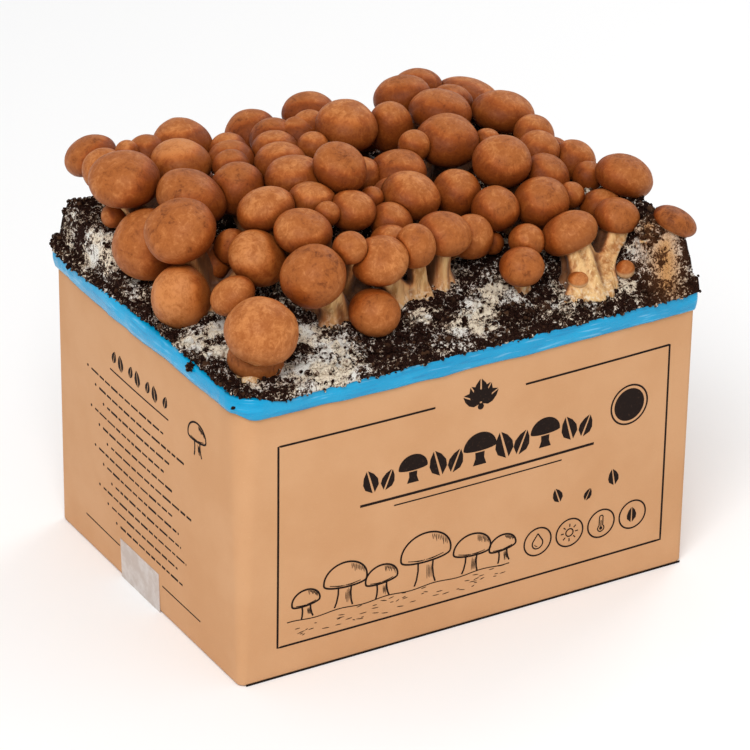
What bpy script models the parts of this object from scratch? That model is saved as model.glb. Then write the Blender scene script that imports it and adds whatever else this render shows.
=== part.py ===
"""Chestnut mushroom grow kit: brown mushrooms on peat casing in a lined kraft carton.

The origin is the centre of the carton's underside. X runs along the front face to the
right, Y to the back, Z up. Lengths are metres.
"""

import math
from typing import NamedTuple

import bmesh
import bpy
import numpy as np
from mathutils.bvhtree import BVHTree

MM = 0.001
GAP = 0.3 * MM
CUT_GAP = 0.36 * MM

# Carton
BOX_WIDTH = 300 * MM
BOX_DEPTH = 225 * MM
BOX_HEIGHT = 183 * MM
BOARD = 4 * MM
FLOOR_BOARD = 7 * MM
CORNER_LOW = 5 * MM
CORNER_HIGH = 3 * MM
CORNER_WORN = 15 * MM
BULGE = 3 * MM
BULGE_REACH = 0.85
CORNER_STEPS = 3
SIDE_STEPS = 3
MIDDLE_HEIGHT = 95 * MM

# Closing tape round the floor
TAPE_WIDTH = 48 * MM
TAPE_RISE = 26 * MM
TAPE_THICKNESS = 0.4 * MM
TAPE_PLACE = 8 * MM

# Plastic liner, folded over the rim
FILM = 0.8 * MM
COLLAR_LOW = 171 * MM
COLLAR_MIDDLE = 178 * MM
COLLAR_STAND = 2.2 * MM
COLLAR_FOOT = 1.0 * MM
RIM = BOX_HEIGHT + GAP + FILM

# Casing soil, heights above the rim
SOIL_INSET = BOARD + 2 * GAP + FILM
SOIL_SPILL = 1 * MM
SOIL_LIFT = 1 * MM
SOIL_MIDDLE = 16 * MM
SOIL_RIGHT = 19 * MM
SOIL_BACK_LEFT = 12 * MM
FRONT_SLOPE = 70 * MM
CORNER_SLOPE = 9 * MM
LEFT_SLOPE = 85 * MM
RIGHT_SLOPE = 8 * MM
REAR_SLOPE = 6 * MM
SOIL_RINGS = (1.0, 0.96, 0.88, 0.74, 0.52, 0.26)
PRESSING = 4 * MM
CUTTER_SKIRT = 20 * MM
CUTTER_DEPTH = 60 * MM

# Bands of X or Y over which the heap and the canopy change
RIGHT_BAND = (95 * MM, 140 * MM)
LEFT_BAND = (-60 * MM, -130 * MM)
BACK_BAND = (10 * MM, 90 * MM)
LEFT_EDGE_BAND = (0, 80 * MM)

# Mushrooms
CAP_STEPS = 8
SMALL_STEPS = 7
CAP_ANGLES = (38, 78, 116, 148)
SMALL_ANGLES = (50, 100, 145)
HOLLOW = 0.80
CAP_FLATNESS = 0.76
ROUND_SEEN = 0.8
FLATTER = 0.02
FACING_LIMIT = 0.4
SIDEWAYS = (0.3, 0.9, 0.1)
STEM_STEPS = 6
STEM_RINGS = 3
STEM_ROOT = 5 * MM
STEM_REACH_X = 130 * MM
STEM_REACH_Y = 92 * MM
STEM_TOP = 0.40
STEM_WAIST = 0.36
STEM_FOOT = 0.46
STEM_DRAW = 0.50
STEM_INSIDE = 0.4
STEM_PULL = 0.4

# Heights of the cap centres above the rim, and the bands over which they change
CANOPY_FRONT = 16 * MM
CANOPY_RISE = 42 * MM
CANOPY_RISE_BAND = (-100 * MM, -5 * MM)
CANOPY_FALL = 6 * MM
CANOPY_FALL_BAND = (50 * MM, 115 * MM)
CANOPY_LEFT = 15 * MM
CANOPY_LEFT_RISE = 37 * MM
CANOPY_LEFT_BAND = (-30 * MM, 110 * MM)
CANOPY_RIGHT = 26 * MM
CANOPY_RIGHT_RISE = 22 * MM
CANOPY_RIGHT_BAND = (-90 * MM, 10 * MM)
TO_LEFT_BAND = (-70 * MM, -140 * MM)
TO_RIGHT_BAND = (60 * MM, 135 * MM)
CANOPY_SEARCH = (-20 * MM, 130 * MM)
CANOPY_HALVINGS = 40

# How the caps make room for each other
REST_ROUNDS = 240
TOUCH = 0.3 * MM
YIELD = 0.25
MOST_YIELD = 6 * MM
LEAST_FACING = 0.25
RETURN = 0.01
MOST_STEP = 3 * MM

# The view in which the cap places are given: picture units are pixels
VIEW_TARGET = np.array((0, 0, 100 * MM))
VIEW_DISTANCE = 2742 * MM
VIEW_FOCAL = 4648
VIEW_CENTRE = (372.2, 391.9)
VIEW_AZIMUTH = -30.42
VIEW_ELEVATION = 27.99
VIEW_ROLL = 0.87


class Cap(NamedTuple):
    """A cap as it is seen. px and py are its centre, width is its breadth in millimetres."""

    name: str
    px: float
    py: float
    width: float
    seen: float  # breadth of the outline over its length
    tilt: float  # degrees by which the outline's length falls to the right
    forward: float = 0  # millimetres moved towards the viewer


class RearCap(NamedTuple):
    """A cap behind the others, in millimetres, its level above the rim."""

    name: str
    x: float
    y: float
    level: float
    width: float
    lean_x: float
    lean_y: float


# The nearer of two caps stands first
CAPS = [
    Cap("28", 262, 332, 42, 0.93, 15, 5),
    Cap("31", 374.5, 312.5, 30, 0.92, 20),
    Cap("07", 181, 297.5, 34, 1.09, 0),
    Cap("63", 521.5, 267, 26, 0.90, 0),
    Cap("64", 675, 221, 27, 0.59, 28, 26),
    Cap("29", 246, 362, 33, 0.78, 20, -6),
    Cap("26", 313.5, 276.5, 38, 0.96, -30),
    Cap("27", 233, 296, 27, 0.79, -35),
    Cap("24", 257, 258.5, 35, 0.88, 40),
    Cap("30", 380, 261, 33, 0.87, -12),
    Cap("06", 180, 231, 42, 0.88, -25),
    Cap("05", 148, 245, 41, 1.03, -10),
    Cap("36", 415, 247, 24, 1.10, 0),
    Cap("37", 444.5, 234, 32, 0.82, 15),
    Cap("61", 569, 234, 34, 0.75, -25),
    Cap("60", 617, 216, 27, 0.80, 10),
    Cap("59", 624, 176.5, 35, 0.74, 20, 20),
    Cap("38", 471, 237, 26, 1.04, 0),
    Cap("35", 391, 244, 25, 0.89, 20),
    Cap("33", 352, 211, 28, 0.86, 10),
    Cap("40", 495.5, 209, 28, 0.96, 0),
    Cap("56", 541, 202.5, 33, 0.91, 0),
    Cap("23", 303, 232, 33, 0.83, 10),
    Cap("08", 191, 198, 42, 0.76, 25),
    Cap("41", 410.5, 196, 35, 0.81, 20),
    Cap("54", 502, 162, 35, 0.93, 0),
    Cap("44", 447, 141, 38, 0.85, 10),
    Cap("03", 124.5, 180, 42, 0.83, 0),
    Cap("16", 266, 210, 34, 0.77, -20),
    Cap("43", 457, 193, 29, 0.98, 0),
    Cap("42", 397, 174, 35, 0.83, -10),
    Cap("74", 340, 168, 33, 0.86, 40),
    Cap("21", 296, 179, 37, 0.75, 0),
    Cap("15", 238, 189, 32, 0.98, 0),
    Cap("09", 181, 163, 36, 0.81, 10),
    Cap("71", 347, 126, 37, 0.84, 15),
    Cap("51", 503, 113, 39, 0.69, 10),
    Cap("45", 440, 112, 38, 0.73, 10),
    Cap("53", 538, 150, 26, 0.91, 10),
    Cap("57", 573, 161, 27, 0.95, 20),
    Cap("72", 309, 113, 33, 0.79, 0),
    Cap("17", 251, 133, 32, 0.89, -20),
    Cap("10", 183, 144, 36, 0.84, 15),
    Cap("01", 91, 156, 32, 0.78, -20, 12),
    Cap("50", 390, 128, 27, 1.15, 0),
    Cap("49", 402, 97, 35, 0.76, -10),
    Cap("48", 418, 86, 30, 0.74, 0),
    Cap("47", 468, 95, 39, 0.56, 15),
]

# Mushrooms that stand apart, each one piece with its stem
ALONE = ("28", "31", "07", "63", "64", "29")

# Small caps are one with the stems that they grow on
SMALL_CAPS = [
    Cap("20", 281, 163, 31, 0.81, 0),
    Cap("22", 312, 200, 28, 0.76, 10),
    Cap("34", 391, 222, 25, 0.91, 20),
    Cap("55", 547, 176, 29, 0.84, 50),
    Cap("60b", 600, 205, 25, 0.77, -10),
    Cap("57b", 588, 177, 19, 1.00, 0),
    Cap("32", 350, 248, 20, 0.97, -10),
    Cap("62", 527, 241, 21, 0.97, 0),
    Cap("14", 231, 166, 22, 0.89, 0),
    Cap("13", 231, 160, 28, 0.83, 0),
    Cap("19", 275, 150, 28, 0.83, 0),
    Cap("18", 273, 139, 28, 0.92, 0),
    Cap("73", 313, 146, 19, 0.91, 0),
    Cap("70", 310, 126, 22, 0.89, 0),
    Cap("11", 147, 152, 23, 0.90, 15),
    Cap("12", 127, 152, 14, 1.00, 0, 10),
    Cap("02", 104, 170, 26, 1.00, 0),
    Cap("04", 113, 216, 14, 1.05, 0, -14),
    Cap("46", 452, 101, 26, 0.77, 15),
    Cap("52", 534, 135, 26, 0.91, 45),
    Cap("68", 487, 138, 15, 0.77, 0),
    Cap("69", 414, 146, 19, 1.00, 0),
    Cap("58", 571, 195, 16, 1.00, 0),
    Cap("39", 492, 243, 14, 1.00, 0),
    Cap("25", 232, 247, 21, 1.00, 0),
    Cap("75", 372, 198, 14, 1.00, 0),
    Cap("77", 327, 214, 15, 1.00, 0),
    Cap("65", 578, 280, 12, 0.86, 0, -10),
    Cap("66", 625.5, 269.5, 11, 1.00, 0, -18),
]

REAR_CAPS = [
    RearCap("81", -108, 98, 34, 26, -0.2, 0.5),
    RearCap("82", -66, 100, 24, 28, 0.0, 0.6),
    RearCap("83", -6, 106, 25, 30, 0.1, 0.6),
    RearCap("84", 42, 100, 30, 34, 0.1, 0.5),
    RearCap("85", 88, 104, 30, 30, 0.2, 0.6),
    RearCap("86", 138, 78, 33, 26, 0.6, 0.2),
    RearCap("87", 140, 27, 30, 22, 0.6, 0.0),
    RearCap("88", 28, 36, 36, 28, 0.1, 0.2),
    RearCap("89", -10, 24, 38, 24, 0.0, 0.2),
    RearCap("90", 98, 8, 36, 24, 0.2, 0.1),
    RearCap("91", -36, 90, 33, 26, 0.0, 0.4),
    RearCap("92", -98, 48, 38, 26, -0.1, 0.2),
]

# Where the clusters rise from the casing
CLUSTERS = {
    "front_left": (-106 * MM, -6 * MM),
    "back_left": (-102 * MM, 74 * MM),
    "front": (-54 * MM, -48 * MM),
    "middle": (-62 * MM, 14 * MM),
    "centre": (12 * MM, -26 * MM),
    "back": (-12 * MM, 66 * MM),
    "back_right": (86 * MM, 62 * MM),
    "right": (98 * MM, -38 * MM),
}
# Where some stems are seen to enter the casing
FEET = {
    "61": (590, 292),
    "60": (611, 294),
    "60b": (603, 286),
    "36": (419, 291),
    "37": (437, 279),
}

# Fused stems: voxel size, triangles kept for the heel and for each stem
FUSING = 2.5 * MM
HEEL_FACETS = 38
STEM_FACETS = 22
MORE_FACETS = 1.06
NEARBY = 8 * MM
HEEL_REACH = 90 * MM
HEEL_RADIUS = 30 * MM
HEEL_RISE = 12 * MM
HEEL_DEPTH = 4 * MM
HEEL_STEPS = 10
HEEL_RINGS = ((1.0, 0.0), (0.8, 0.7))

KRAFT = (0.62, 0.36, 0.19)
BLUE = (0.0, 0.35, 0.75)
CLEAR_TAPE = (0.75, 0.70, 0.62)
PEAT = (0.02, 0.013, 0.01)
STEM = (0.72, 0.50, 0.28)
BROWN = (0.40, 0.16, 0.07)


def clear_scene():
    for old in list(bpy.data.objects):
        bpy.data.objects.remove(old, do_unlink=True)


def material(name, colour, roughness):
    made = bpy.data.materials.new(name)
    made.use_nodes = True
    shader = made.node_tree.nodes["Principled BSDF"]
    shader.inputs["Base Color"].default_value = (*colour, 1)
    shader.inputs["Roughness"].default_value = roughness
    shader.inputs["Metallic"].default_value = 0
    return made


def add_object(name, mesh, finish=None):
    made = bpy.data.objects.new(name, mesh)
    bpy.context.scene.collection.objects.link(made)
    if finish:
        mesh.materials.append(finish)
    return made


def add_helper(name, mesh, collection):
    made = bpy.data.objects.new(name, mesh)
    collection.objects.link(made)
    made.hide_render = True
    made.display_type = "WIRE"
    return made


def helper_collection(name):
    made = bpy.data.collections.new(name)
    bpy.context.scene.collection.children.link(made)
    return made


def loft(name, rings, ends=(None, None)):
    """A closed mesh through rings of points; an end is a flat face, or a fan to a given point.

    The diagonals run the same way whether the rings rise or fall, so nested walls keep their gap.
    """
    shape = bmesh.new()
    rows = [[shape.verts.new(point) for point in ring] for ring in rings]
    count = len(rows[0])
    for here, there in zip(rows, rows[1:]):
        falling = here[0].co.z > there[0].co.z
        for i in range(count):
            j = (i + 1) % count
            if falling:
                shape.faces.new((here[i], here[j], there[i]))
                shape.faces.new((here[j], there[j], there[i]))
            else:
                shape.faces.new((here[i], here[j], there[j]))
                shape.faces.new((here[i], there[j], there[i]))
    for row, tip, turned in ((rows[0], ends[0], True), (rows[-1], ends[1], False)):
        if tip is None:
            shape.faces.new(row[::-1] if turned else row)
            continue
        peak = shape.verts.new(tip)
        for i in range(count):
            j = (i + 1) % count
            shape.faces.new((row[j], row[i], peak) if turned else (row[i], row[j], peak))
    mesh = bpy.data.meshes.new(name)
    shape.to_mesh(mesh)
    shape.free()
    return mesh


def boolean(target, operation, collection):
    cut = target.modifiers.new(operation.title(), "BOOLEAN")
    cut.operation = operation
    cut.solver = "EXACT"
    cut.operand_type = "COLLECTION"
    cut.collection = collection


def ease(low, high, value):
    """0 below low, 1 above high, smooth between them."""
    part = np.clip((value - low) / (high - low), 0, 1)
    return part * part * (3 - 2 * part)


def swell(z):
    """How far a wall's middle stands out at height z."""
    return BULGE * math.sin(math.pi * BULGE_REACH * min(max(z / BOX_HEIGHT, 0), 1))


def outline(inset, z):
    """Plan points of the carton's faces at height z, moved inwards, counter-clockwise."""
    share = min(max(z / BOX_HEIGHT, 0), 1)
    half = np.array((BOX_WIDTH / 2 - inset, BOX_DEPTH / 2 - inset))
    corners = []
    for sign, start in (((1, -1), -90), ((1, 1), 0), ((-1, 1), 90), ((-1, -1), 180)):
        high = CORNER_WORN if sign == (-1, -1) else CORNER_HIGH
        radius = max(CORNER_LOW + (high - CORNER_LOW) * share - inset, 1 * MM)
        centre = np.array(sign) * (half - radius)
        turns = np.radians(start + np.linspace(0, 90, CORNER_STEPS + 1))
        corners.append(centre + radius * np.c_[np.cos(turns), np.sin(turns)])
    points = []
    for i, corner in enumerate(corners):
        points.extend(corner)
        first = corner[-1]
        last = corners[(i + 1) % 4][0]
        outward = np.array((math.cos(math.pi / 2 * i), math.sin(math.pi / 2 * i)))
        for step in range(1, SIDE_STEPS):
            share = step / SIDE_STEPS
            bow = swell(z) * 4 * share * (1 - share)
            points.append(first + (last - first) * share + outward * bow)
    return np.array(points)


def ring(inset, z):
    return [(x, y, z) for x, y in outline(inset, z)]


def make_carton():
    heights = (0, MIDDLE_HEIGHT, BOX_HEIGHT)
    outside = [ring(0, z) for z in heights]
    inside = [ring(BOARD, z) for z in (BOX_HEIGHT, MIDDLE_HEIGHT, FLOOR_BOARD)]
    carton = add_object("carton", loft("carton", outside + inside), material("kraft", KRAFT, 0.85))
    cutters = helper_collection("tape groove")
    half = TAPE_WIDTH / 2 + GAP
    low, high = TAPE_PLACE - half, TAPE_PLACE + half
    reach = BOX_WIDTH / 2 + BULGE + GAP
    corners = ((-reach, low), (reach, low), (reach, high), (-reach, high))
    depth = TAPE_THICKNESS + GAP
    rings = [[(x, y, z) for x, y in corners] for z in (-depth, depth)]
    add_helper("tape_groove", loft("tape_groove", rings), cutters)
    boolean(carton, "DIFFERENCE", cutters)


def make_tape():
    """One strip up the left face, under the floor and up the right face."""
    foot = BOX_WIDTH / 2 + GAP
    head = foot + swell(MIDDLE_HEIGHT) * TAPE_RISE / MIDDLE_HEIGHT
    outer = [(-head - TAPE_THICKNESS, TAPE_RISE), (-foot - TAPE_THICKNESS, 0)]
    inner = [(-head, TAPE_RISE), (-foot, TAPE_THICKNESS)]
    outer += [(-x, z) for x, z in reversed(outer)]
    inner += [(-x, z) for x, z in reversed(inner)]
    rings = []
    for (x, z), (x_in, z_in) in zip(outer, inner):
        low = TAPE_PLACE - TAPE_WIDTH / 2
        high = TAPE_PLACE + TAPE_WIDTH / 2
        rings.append([(x, high, z), (x_in, high, z_in), (x_in, low, z_in), (x, low, z)])
    mesh = loft("tape", rings)
    add_object("tape", mesh, material("tape", CLEAR_TAPE, 0.3))


def make_liner():
    """A bag inside the carton whose mouth is folded out and down over the rim."""
    leg = BOARD + GAP
    floor = FLOOR_BOARD + GAP
    levels = (floor, MIDDLE_HEIGHT, BOX_HEIGHT + GAP)
    rings = [ring(leg, z) for z in levels]
    rings.append(ring(-GAP - COLLAR_FOOT / 2, BOX_HEIGHT + GAP))
    rings.append(ring(-COLLAR_STAND, COLLAR_MIDDLE))
    rings.append(ring(-COLLAR_FOOT, COLLAR_LOW))
    rings.append(ring(-COLLAR_FOOT - FILM, COLLAR_LOW))
    rings.append(ring(-COLLAR_STAND - FILM, COLLAR_MIDDLE))
    rings.append(ring(-COLLAR_FOOT - FILM, RIM))
    for z in (RIM, MIDDLE_HEIGHT, floor + FILM):
        rings.append(ring(leg + FILM, z))
    add_object("liner", loft("liner", rings), material("blue_film", BLUE, 0.25))


def round_over(distance, reach):
    """0 at an edge, 1 further in than reach, steep at first."""
    part = np.clip(distance / reach, 0, 1)
    return np.sqrt(np.clip(1 - (1 - part) ** 2, 0, 1))


def ramp(distance, reach):
    """0 at an edge, 1 further in than reach, even at first."""
    return np.sin(np.clip(distance / reach, 0, 1) * math.pi / 2)


def soil_height(x, y):
    """Height of the casing's surface: low along the front, heaped at the back and right."""
    half_x = BOX_WIDTH / 2 - SOIL_SPILL
    half_y = BOX_DEPTH / 2 - SOIL_SPILL
    to_right = ease(*RIGHT_BAND, x)
    to_left = ease(*LEFT_BAND, x)
    heap = SOIL_MIDDLE + SOIL_RIGHT * to_right
    heap = heap + SOIL_BACK_LEFT * to_left * ease(*BACK_BAND, y)
    front = ramp(y + half_y, FRONT_SLOPE)
    front = front + (round_over(y + half_y, CORNER_SLOPE) - front) * to_right
    left = ramp(x + half_x, LEFT_SLOPE)
    left = left + (round_over(x + half_x, REAR_SLOPE) - left) * ease(*LEFT_EDGE_BAND, y)
    right = round_over(half_x - x, RIGHT_SLOPE)
    back = round_over(half_y - y, REAR_SLOPE)
    return RIM + SOIL_LIFT + heap * front * left * right * back


def soil_rings(lift):
    edge = outline(SOIL_SPILL, BOX_HEIGHT)
    rings = []
    for share in SOIL_RINGS:
        places = edge * share
        heights = soil_height(places[:, 0], places[:, 1]) + lift
        rings.append([(x, y, z) for (x, y), z in zip(places, heights)])
    return rings, (0, 0, float(soil_height(0, 0)) + lift)


def make_substrate(mushrooms):
    """The block that fills the bag and spills onto its fold, hollowed where a cap presses."""
    low = FLOOR_BOARD + 2 * GAP + FILM
    walls = [ring(SOIL_INSET, z) for z in (low, MIDDLE_HEIGHT, RIM + GAP)]
    top, peak = soil_rings(0)
    mesh = loft("substrate", walls + top, (None, peak))
    substrate = add_object("substrate", mesh, material("peat", PEAT, 0.95))
    pressing = helper_collection("caps on the casing")
    for mushroom in mushrooms:
        x, y, z = mushroom.centre
        if mushroom.own and z - mushroom.radius < soil_height(x, y) + PRESSING:
            name = "press_" + mushroom.name
            add_helper(name, cap_mesh(name, mushroom, CUT_GAP), pressing)
    boolean(substrate, "DIFFERENCE", pressing)


def make_soil_cutter():
    """The casing a little higher and wider, which cuts the stems off at its surface."""
    cutters = helper_collection("casing cutter")
    rings = [ring(-CUTTER_SKIRT, z) for z in (RIM - CUTTER_DEPTH, RIM + SOIL_LIFT)]
    top, peak = soil_rings(CUT_GAP)
    add_helper("casing_cutter", loft("casing_cutter", rings + top, (None, peak)), cutters)
    return cutters


def view_axes():
    """Unit vectors to the right, up and towards the viewer."""
    azimuth, elevation, roll = np.radians((VIEW_AZIMUTH, VIEW_ELEVATION, VIEW_ROLL))
    flat = math.cos(elevation)
    back = np.array((math.sin(azimuth) * flat, -math.cos(azimuth) * flat, math.sin(elevation)))
    level = np.array((math.cos(azimuth), math.sin(azimuth), 0))
    upright = np.cross(back, level)
    right = level * math.cos(roll) + upright * math.sin(roll)
    up = upright * math.cos(roll) - level * math.sin(roll)
    return right, up, back


RIGHT, UP, BACK = view_axes()
EYE = VIEW_TARGET + BACK * VIEW_DISTANCE


def sight(px, py):
    """The direction from a seen point to the eye."""
    away = -BACK * VIEW_FOCAL + RIGHT * (px - VIEW_CENTRE[0]) - UP * (py - VIEW_CENTRE[1])
    return -away / np.linalg.norm(away)


def canopy(x, y):
    """Height of the cap centres above the rim: a heap that is lowest at the front."""
    middle = CANOPY_FRONT + CANOPY_RISE * ease(*CANOPY_RISE_BAND, y)
    middle = middle - CANOPY_FALL * ease(*CANOPY_FALL_BAND, y)
    left = CANOPY_LEFT + CANOPY_LEFT_RISE * ease(*CANOPY_LEFT_BAND, y)
    right = CANOPY_RIGHT + CANOPY_RIGHT_RISE * ease(*CANOPY_RIGHT_BAND, y)
    to_left = ease(*TO_LEFT_BAND, x)
    to_right = ease(*TO_RIGHT_BAND, x)
    return middle + (left - middle) * to_left + (right - middle) * to_right


def on_surface(toward, height):
    """The point of a sight line that lies on the surface with the given height above the rim."""
    low, high = (RIM + level for level in CANOPY_SEARCH)
    for _ in range(CANOPY_HALVINGS):
        level = (low + high) / 2
        point = EYE - toward * (EYE[2] - level) / toward[2]
        if level - RIM < height(point[0], point[1]):
            low = level
        else:
            high = level
    return point


def on_canopy(toward):
    return on_surface(toward, canopy)


def on_soil(toward):
    return on_surface(toward, lambda x, y: soil_height(x, y) - RIM)


def cap_axis(cap, toward):
    """Direction from stem to crown, and height over breadth, that give the seen outline."""
    seen = cap.seen
    wanted = math.sqrt(max(seen**2 - FACING_LIMIT, 0) / (1 - FACING_LIMIT))
    flatness = min(CAP_FLATNESS, seen - FLATTER)
    if seen > ROUND_SEEN:
        flatness = max(CAP_FLATNESS, wanted)
    facing = math.sqrt(FACING_LIMIT)
    if abs(1 - flatness) > FLATTER / 2:
        facing = math.sqrt((seen**2 - flatness**2) / (1 - flatness**2))
    turn = math.radians(cap.tilt)
    across = RIGHT * math.sin(turn) + UP * math.cos(turn)
    across = across - toward * (across @ toward)
    across /= np.linalg.norm(across)
    return toward * facing + across * math.sqrt(1 - facing**2), flatness


class Mushroom(NamedTuple):
    name: str
    centre: np.ndarray
    axis: np.ndarray
    radius: float
    flatness: float
    cluster: str
    own: bool


def cluster_of(name, centre):
    """The nearest cluster, or none for a mushroom that stands apart."""
    if name in ALONE:
        return ""
    return min(CLUSTERS, key=lambda key: math.dist(CLUSTERS[key], centre[:2]))


def placed_mushrooms():
    """Caps slid along their sight lines until they no longer run into each other."""
    rows = CAPS + SMALL_CAPS
    toward = np.array([sight(row.px, row.py) for row in rows])
    home = np.array([on_canopy(line) for line in toward])
    home += toward * np.array([[row.forward * MM] for row in rows])
    axes, flat = zip(*(cap_axis(row, line) for row, line in zip(rows, toward)))
    axes, flat = np.array(axes), np.array(flat)
    radius = np.array([row.width * MM / 2 for row in rows])
    order = sorted(range(len(rows)), key=lambda i: home[i] @ BACK, reverse=True)
    rank = np.empty(len(rows))
    rank[order] = range(len(rows))
    first, second = np.triu_indices(len(rows), 1)
    listed = (first < len(CAPS)) & (second < len(CAPS))
    swap = ~listed & (rank[first] > rank[second])
    first, second = np.where(swap, second, first), np.where(swap, first, second)
    slide = np.zeros(len(rows))
    for _ in range(REST_ROUNDS):
        centre = home + toward * slide[:, None]
        apart = centre[second] - centre[first]
        length = np.linalg.norm(apart, axis=1)
        along = apart / length[:, None]
        reach = 0
        for side in (first, second):
            lean = np.einsum("ij,ij->i", along, axes[side])
            reach = reach + radius[side] / np.sqrt(1 - lean**2 + (lean / flat[side]) ** 2)
        overlap = reach - length
        facing = np.maximum(np.abs(along @ BACK), LEAST_FACING)
        push = np.where(overlap > TOUCH, YIELD * np.minimum(overlap, MOST_YIELD) * facing, 0)
        step = -RETURN * slide
        np.add.at(step, first, push)
        np.add.at(step, second, -push)
        slide += np.clip(step, -MOST_STEP, MOST_STEP)
    centre = home + toward * slide[:, None]
    found = []
    for i, row in enumerate(rows):
        cluster = cluster_of(row.name, centre[i])
        own = i < len(CAPS)
        found.append(Mushroom(row.name, centre[i], axes[i], radius[i], flat[i], cluster, own))
    return found


def rear_mushrooms():
    found = []
    for row in REAR_CAPS:
        centre = np.array((row.x * MM, row.y * MM, RIM + row.level * MM))
        axis = np.array((row.lean_x, row.lean_y, 1))
        axis /= np.linalg.norm(axis)
        radius = row.width * MM / 2
        cluster = cluster_of(row.name, centre)
        found.append(Mushroom(row.name, centre, axis, radius, CAP_FLATNESS, cluster, False))
    return found


def frame_across(axis):
    """Two unit vectors square to an axis."""
    side = np.cross(axis, SIDEWAYS)
    side /= np.linalg.norm(side)
    return side, np.cross(axis, side)


def cap_mesh(name, mushroom, grow=0.0):
    """A domed cap whose underside closes in towards the stem."""
    across, along = frame_across(mushroom.axis)
    radius = mushroom.radius + grow
    rise = mushroom.radius * mushroom.flatness + grow
    steps, angles = (CAP_STEPS, CAP_ANGLES) if mushroom.own else (SMALL_STEPS, SMALL_ANGLES)
    turns = np.linspace(0, 2 * math.pi, steps, endpoint=False)
    spokes = np.outer(np.cos(turns), across) + np.outer(np.sin(turns), along)
    rings = []
    for angle in reversed(angles):
        bend = math.radians(angle)
        middle = mushroom.centre + mushroom.axis * rise * math.cos(bend)
        rings.append(middle + spokes * radius * math.sin(bend))
    under = mushroom.centre - mushroom.axis * (rise * HOLLOW + grow)
    crown = mushroom.centre + mushroom.axis * rise
    return loft(name, rings, (under, crown))


def stem_foot(mushroom):
    """Where a stem enters the casing: below its cap, drawn in towards its cluster."""
    x, y = mushroom.centre[:2] - mushroom.axis[:2] * mushroom.radius
    if mushroom.name in FEET:
        x, y = on_soil(sight(*FEET[mushroom.name]))[:2]
    elif mushroom.cluster:
        middle = CLUSTERS[mushroom.cluster]
        x += (middle[0] - x) * STEM_DRAW
        y += (middle[1] - y) * STEM_DRAW
    x = min(max(x, -STEM_REACH_X), STEM_REACH_X)
    y = min(max(y, -STEM_REACH_Y), STEM_REACH_Y)
    return np.array((x, y, float(soil_height(x, y))))


def stem_path(mushroom):
    """Middle, direction and radius of a stem's rings, from below the soil up into the cap."""
    inside = mushroom.radius * mushroom.flatness * STEM_INSIDE
    start = mushroom.centre - mushroom.axis * inside
    foot = stem_foot(mushroom)
    foot[2] = min(foot[2] - STEM_ROOT, start[2] - 2 * STEM_ROOT)
    pull = np.linalg.norm(start - foot) * STEM_PULL
    handles = (start, start - mushroom.axis * pull, foot + np.array((0, 0, pull)), foot)
    widths = (STEM_TOP, STEM_WAIST, STEM_WAIST, STEM_FOOT)
    path = []
    for share in np.linspace(1, 0, STEM_RINGS):
        rest = 1 - share
        weights = (rest**3, 3 * rest**2 * share, 3 * rest * share**2, share**3)
        middle = sum(weight * handle for weight, handle in zip(weights, handles))
        slope = mushroom.axis * rest + np.array((0, 0, share))
        width = mushroom.radius * sum(weight * size for weight, size in zip(weights, widths))
        path.append((middle, slope / np.linalg.norm(slope), width))
    return path


def stem_mesh(name, mushroom, grow=0.0):
    turns = np.linspace(0, 2 * math.pi, STEM_STEPS, endpoint=False)
    rings = []
    for middle, slope, width in stem_path(mushroom):
        across, along = frame_across(slope)
        spokes = np.outer(np.cos(turns), across) + np.outer(np.sin(turns), along)
        rings.append(middle + spokes * (width + grow))
    return loft(name, rings)


def heel_mesh(name, cluster, grow=0.0):
    """The low knot of tissue from which a cluster's stems rise."""
    x, y = CLUSTERS[cluster]
    middle = np.array((x, y, float(soil_height(x, y)) - HEEL_DEPTH))
    turns = np.linspace(0, 2 * math.pi, HEEL_STEPS, endpoint=False)
    spokes = np.c_[np.cos(turns), np.sin(turns), np.zeros(HEEL_STEPS)]
    rise = HEEL_RISE + HEEL_DEPTH + grow
    rings = []
    for share, lift in HEEL_RINGS:
        height = np.array((0, 0, lift * rise))
        rings.append(middle + height + spokes * (HEEL_RADIUS * share + grow))
    return loft(name, rings, (None, middle + np.array((0, 0, rise))))


def baked(target):
    """The object's evaluated mesh put in place of its modifiers, with only its largest body."""
    graph = bpy.context.evaluated_depsgraph_get()
    mesh = bpy.data.meshes.new_from_object(target.evaluated_get(graph))
    shape = bmesh.new()
    shape.from_mesh(mesh)
    bmesh.ops.remove_doubles(shape, verts=shape.verts, dist=0.01 * MM)
    left = set(shape.verts)
    bodies = []
    while left:
        body = {left.pop()}
        edge = set(body)
        while edge:
            edge = {e.other_vert(v) for v in edge for e in v.link_edges} - body
            body |= edge
        left -= body
        bodies.append(body)
    keep = max(bodies, key=len)
    bmesh.ops.delete(shape, geom=[v for v in shape.verts if v not in keep], context="VERTS")
    shape.to_mesh(mesh)
    shape.free()
    target.modifiers.clear()
    target.data = mesh


def crosses_itself(mesh):
    """Whether faces that share no corner run into each other."""
    shape = bmesh.new()
    shape.from_mesh(mesh)
    shape.faces.ensure_lookup_table()
    corners = [set(face.verts) for face in shape.faces]
    tree = BVHTree.FromBMesh(shape)
    crossed = any(not corners[a] & corners[b] for a, b in tree.overlap(tree))
    shape.free()
    return crossed


def thin_out(target, facets):
    """Fewer triangles: the given number, or the next more that leaves a sound surface."""
    dense = target.data
    faces = sum(len(face.vertices) - 2 for face in dense.polygons)
    while facets < faces:
        target.data = dense
        fewer = target.modifiers.new("Decimate", "DECIMATE")
        fewer.ratio = facets / faces
        baked(target)
        if not crosses_itself(target.data):
            return
        facets *= MORE_FACETS
    target.data = dense


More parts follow.
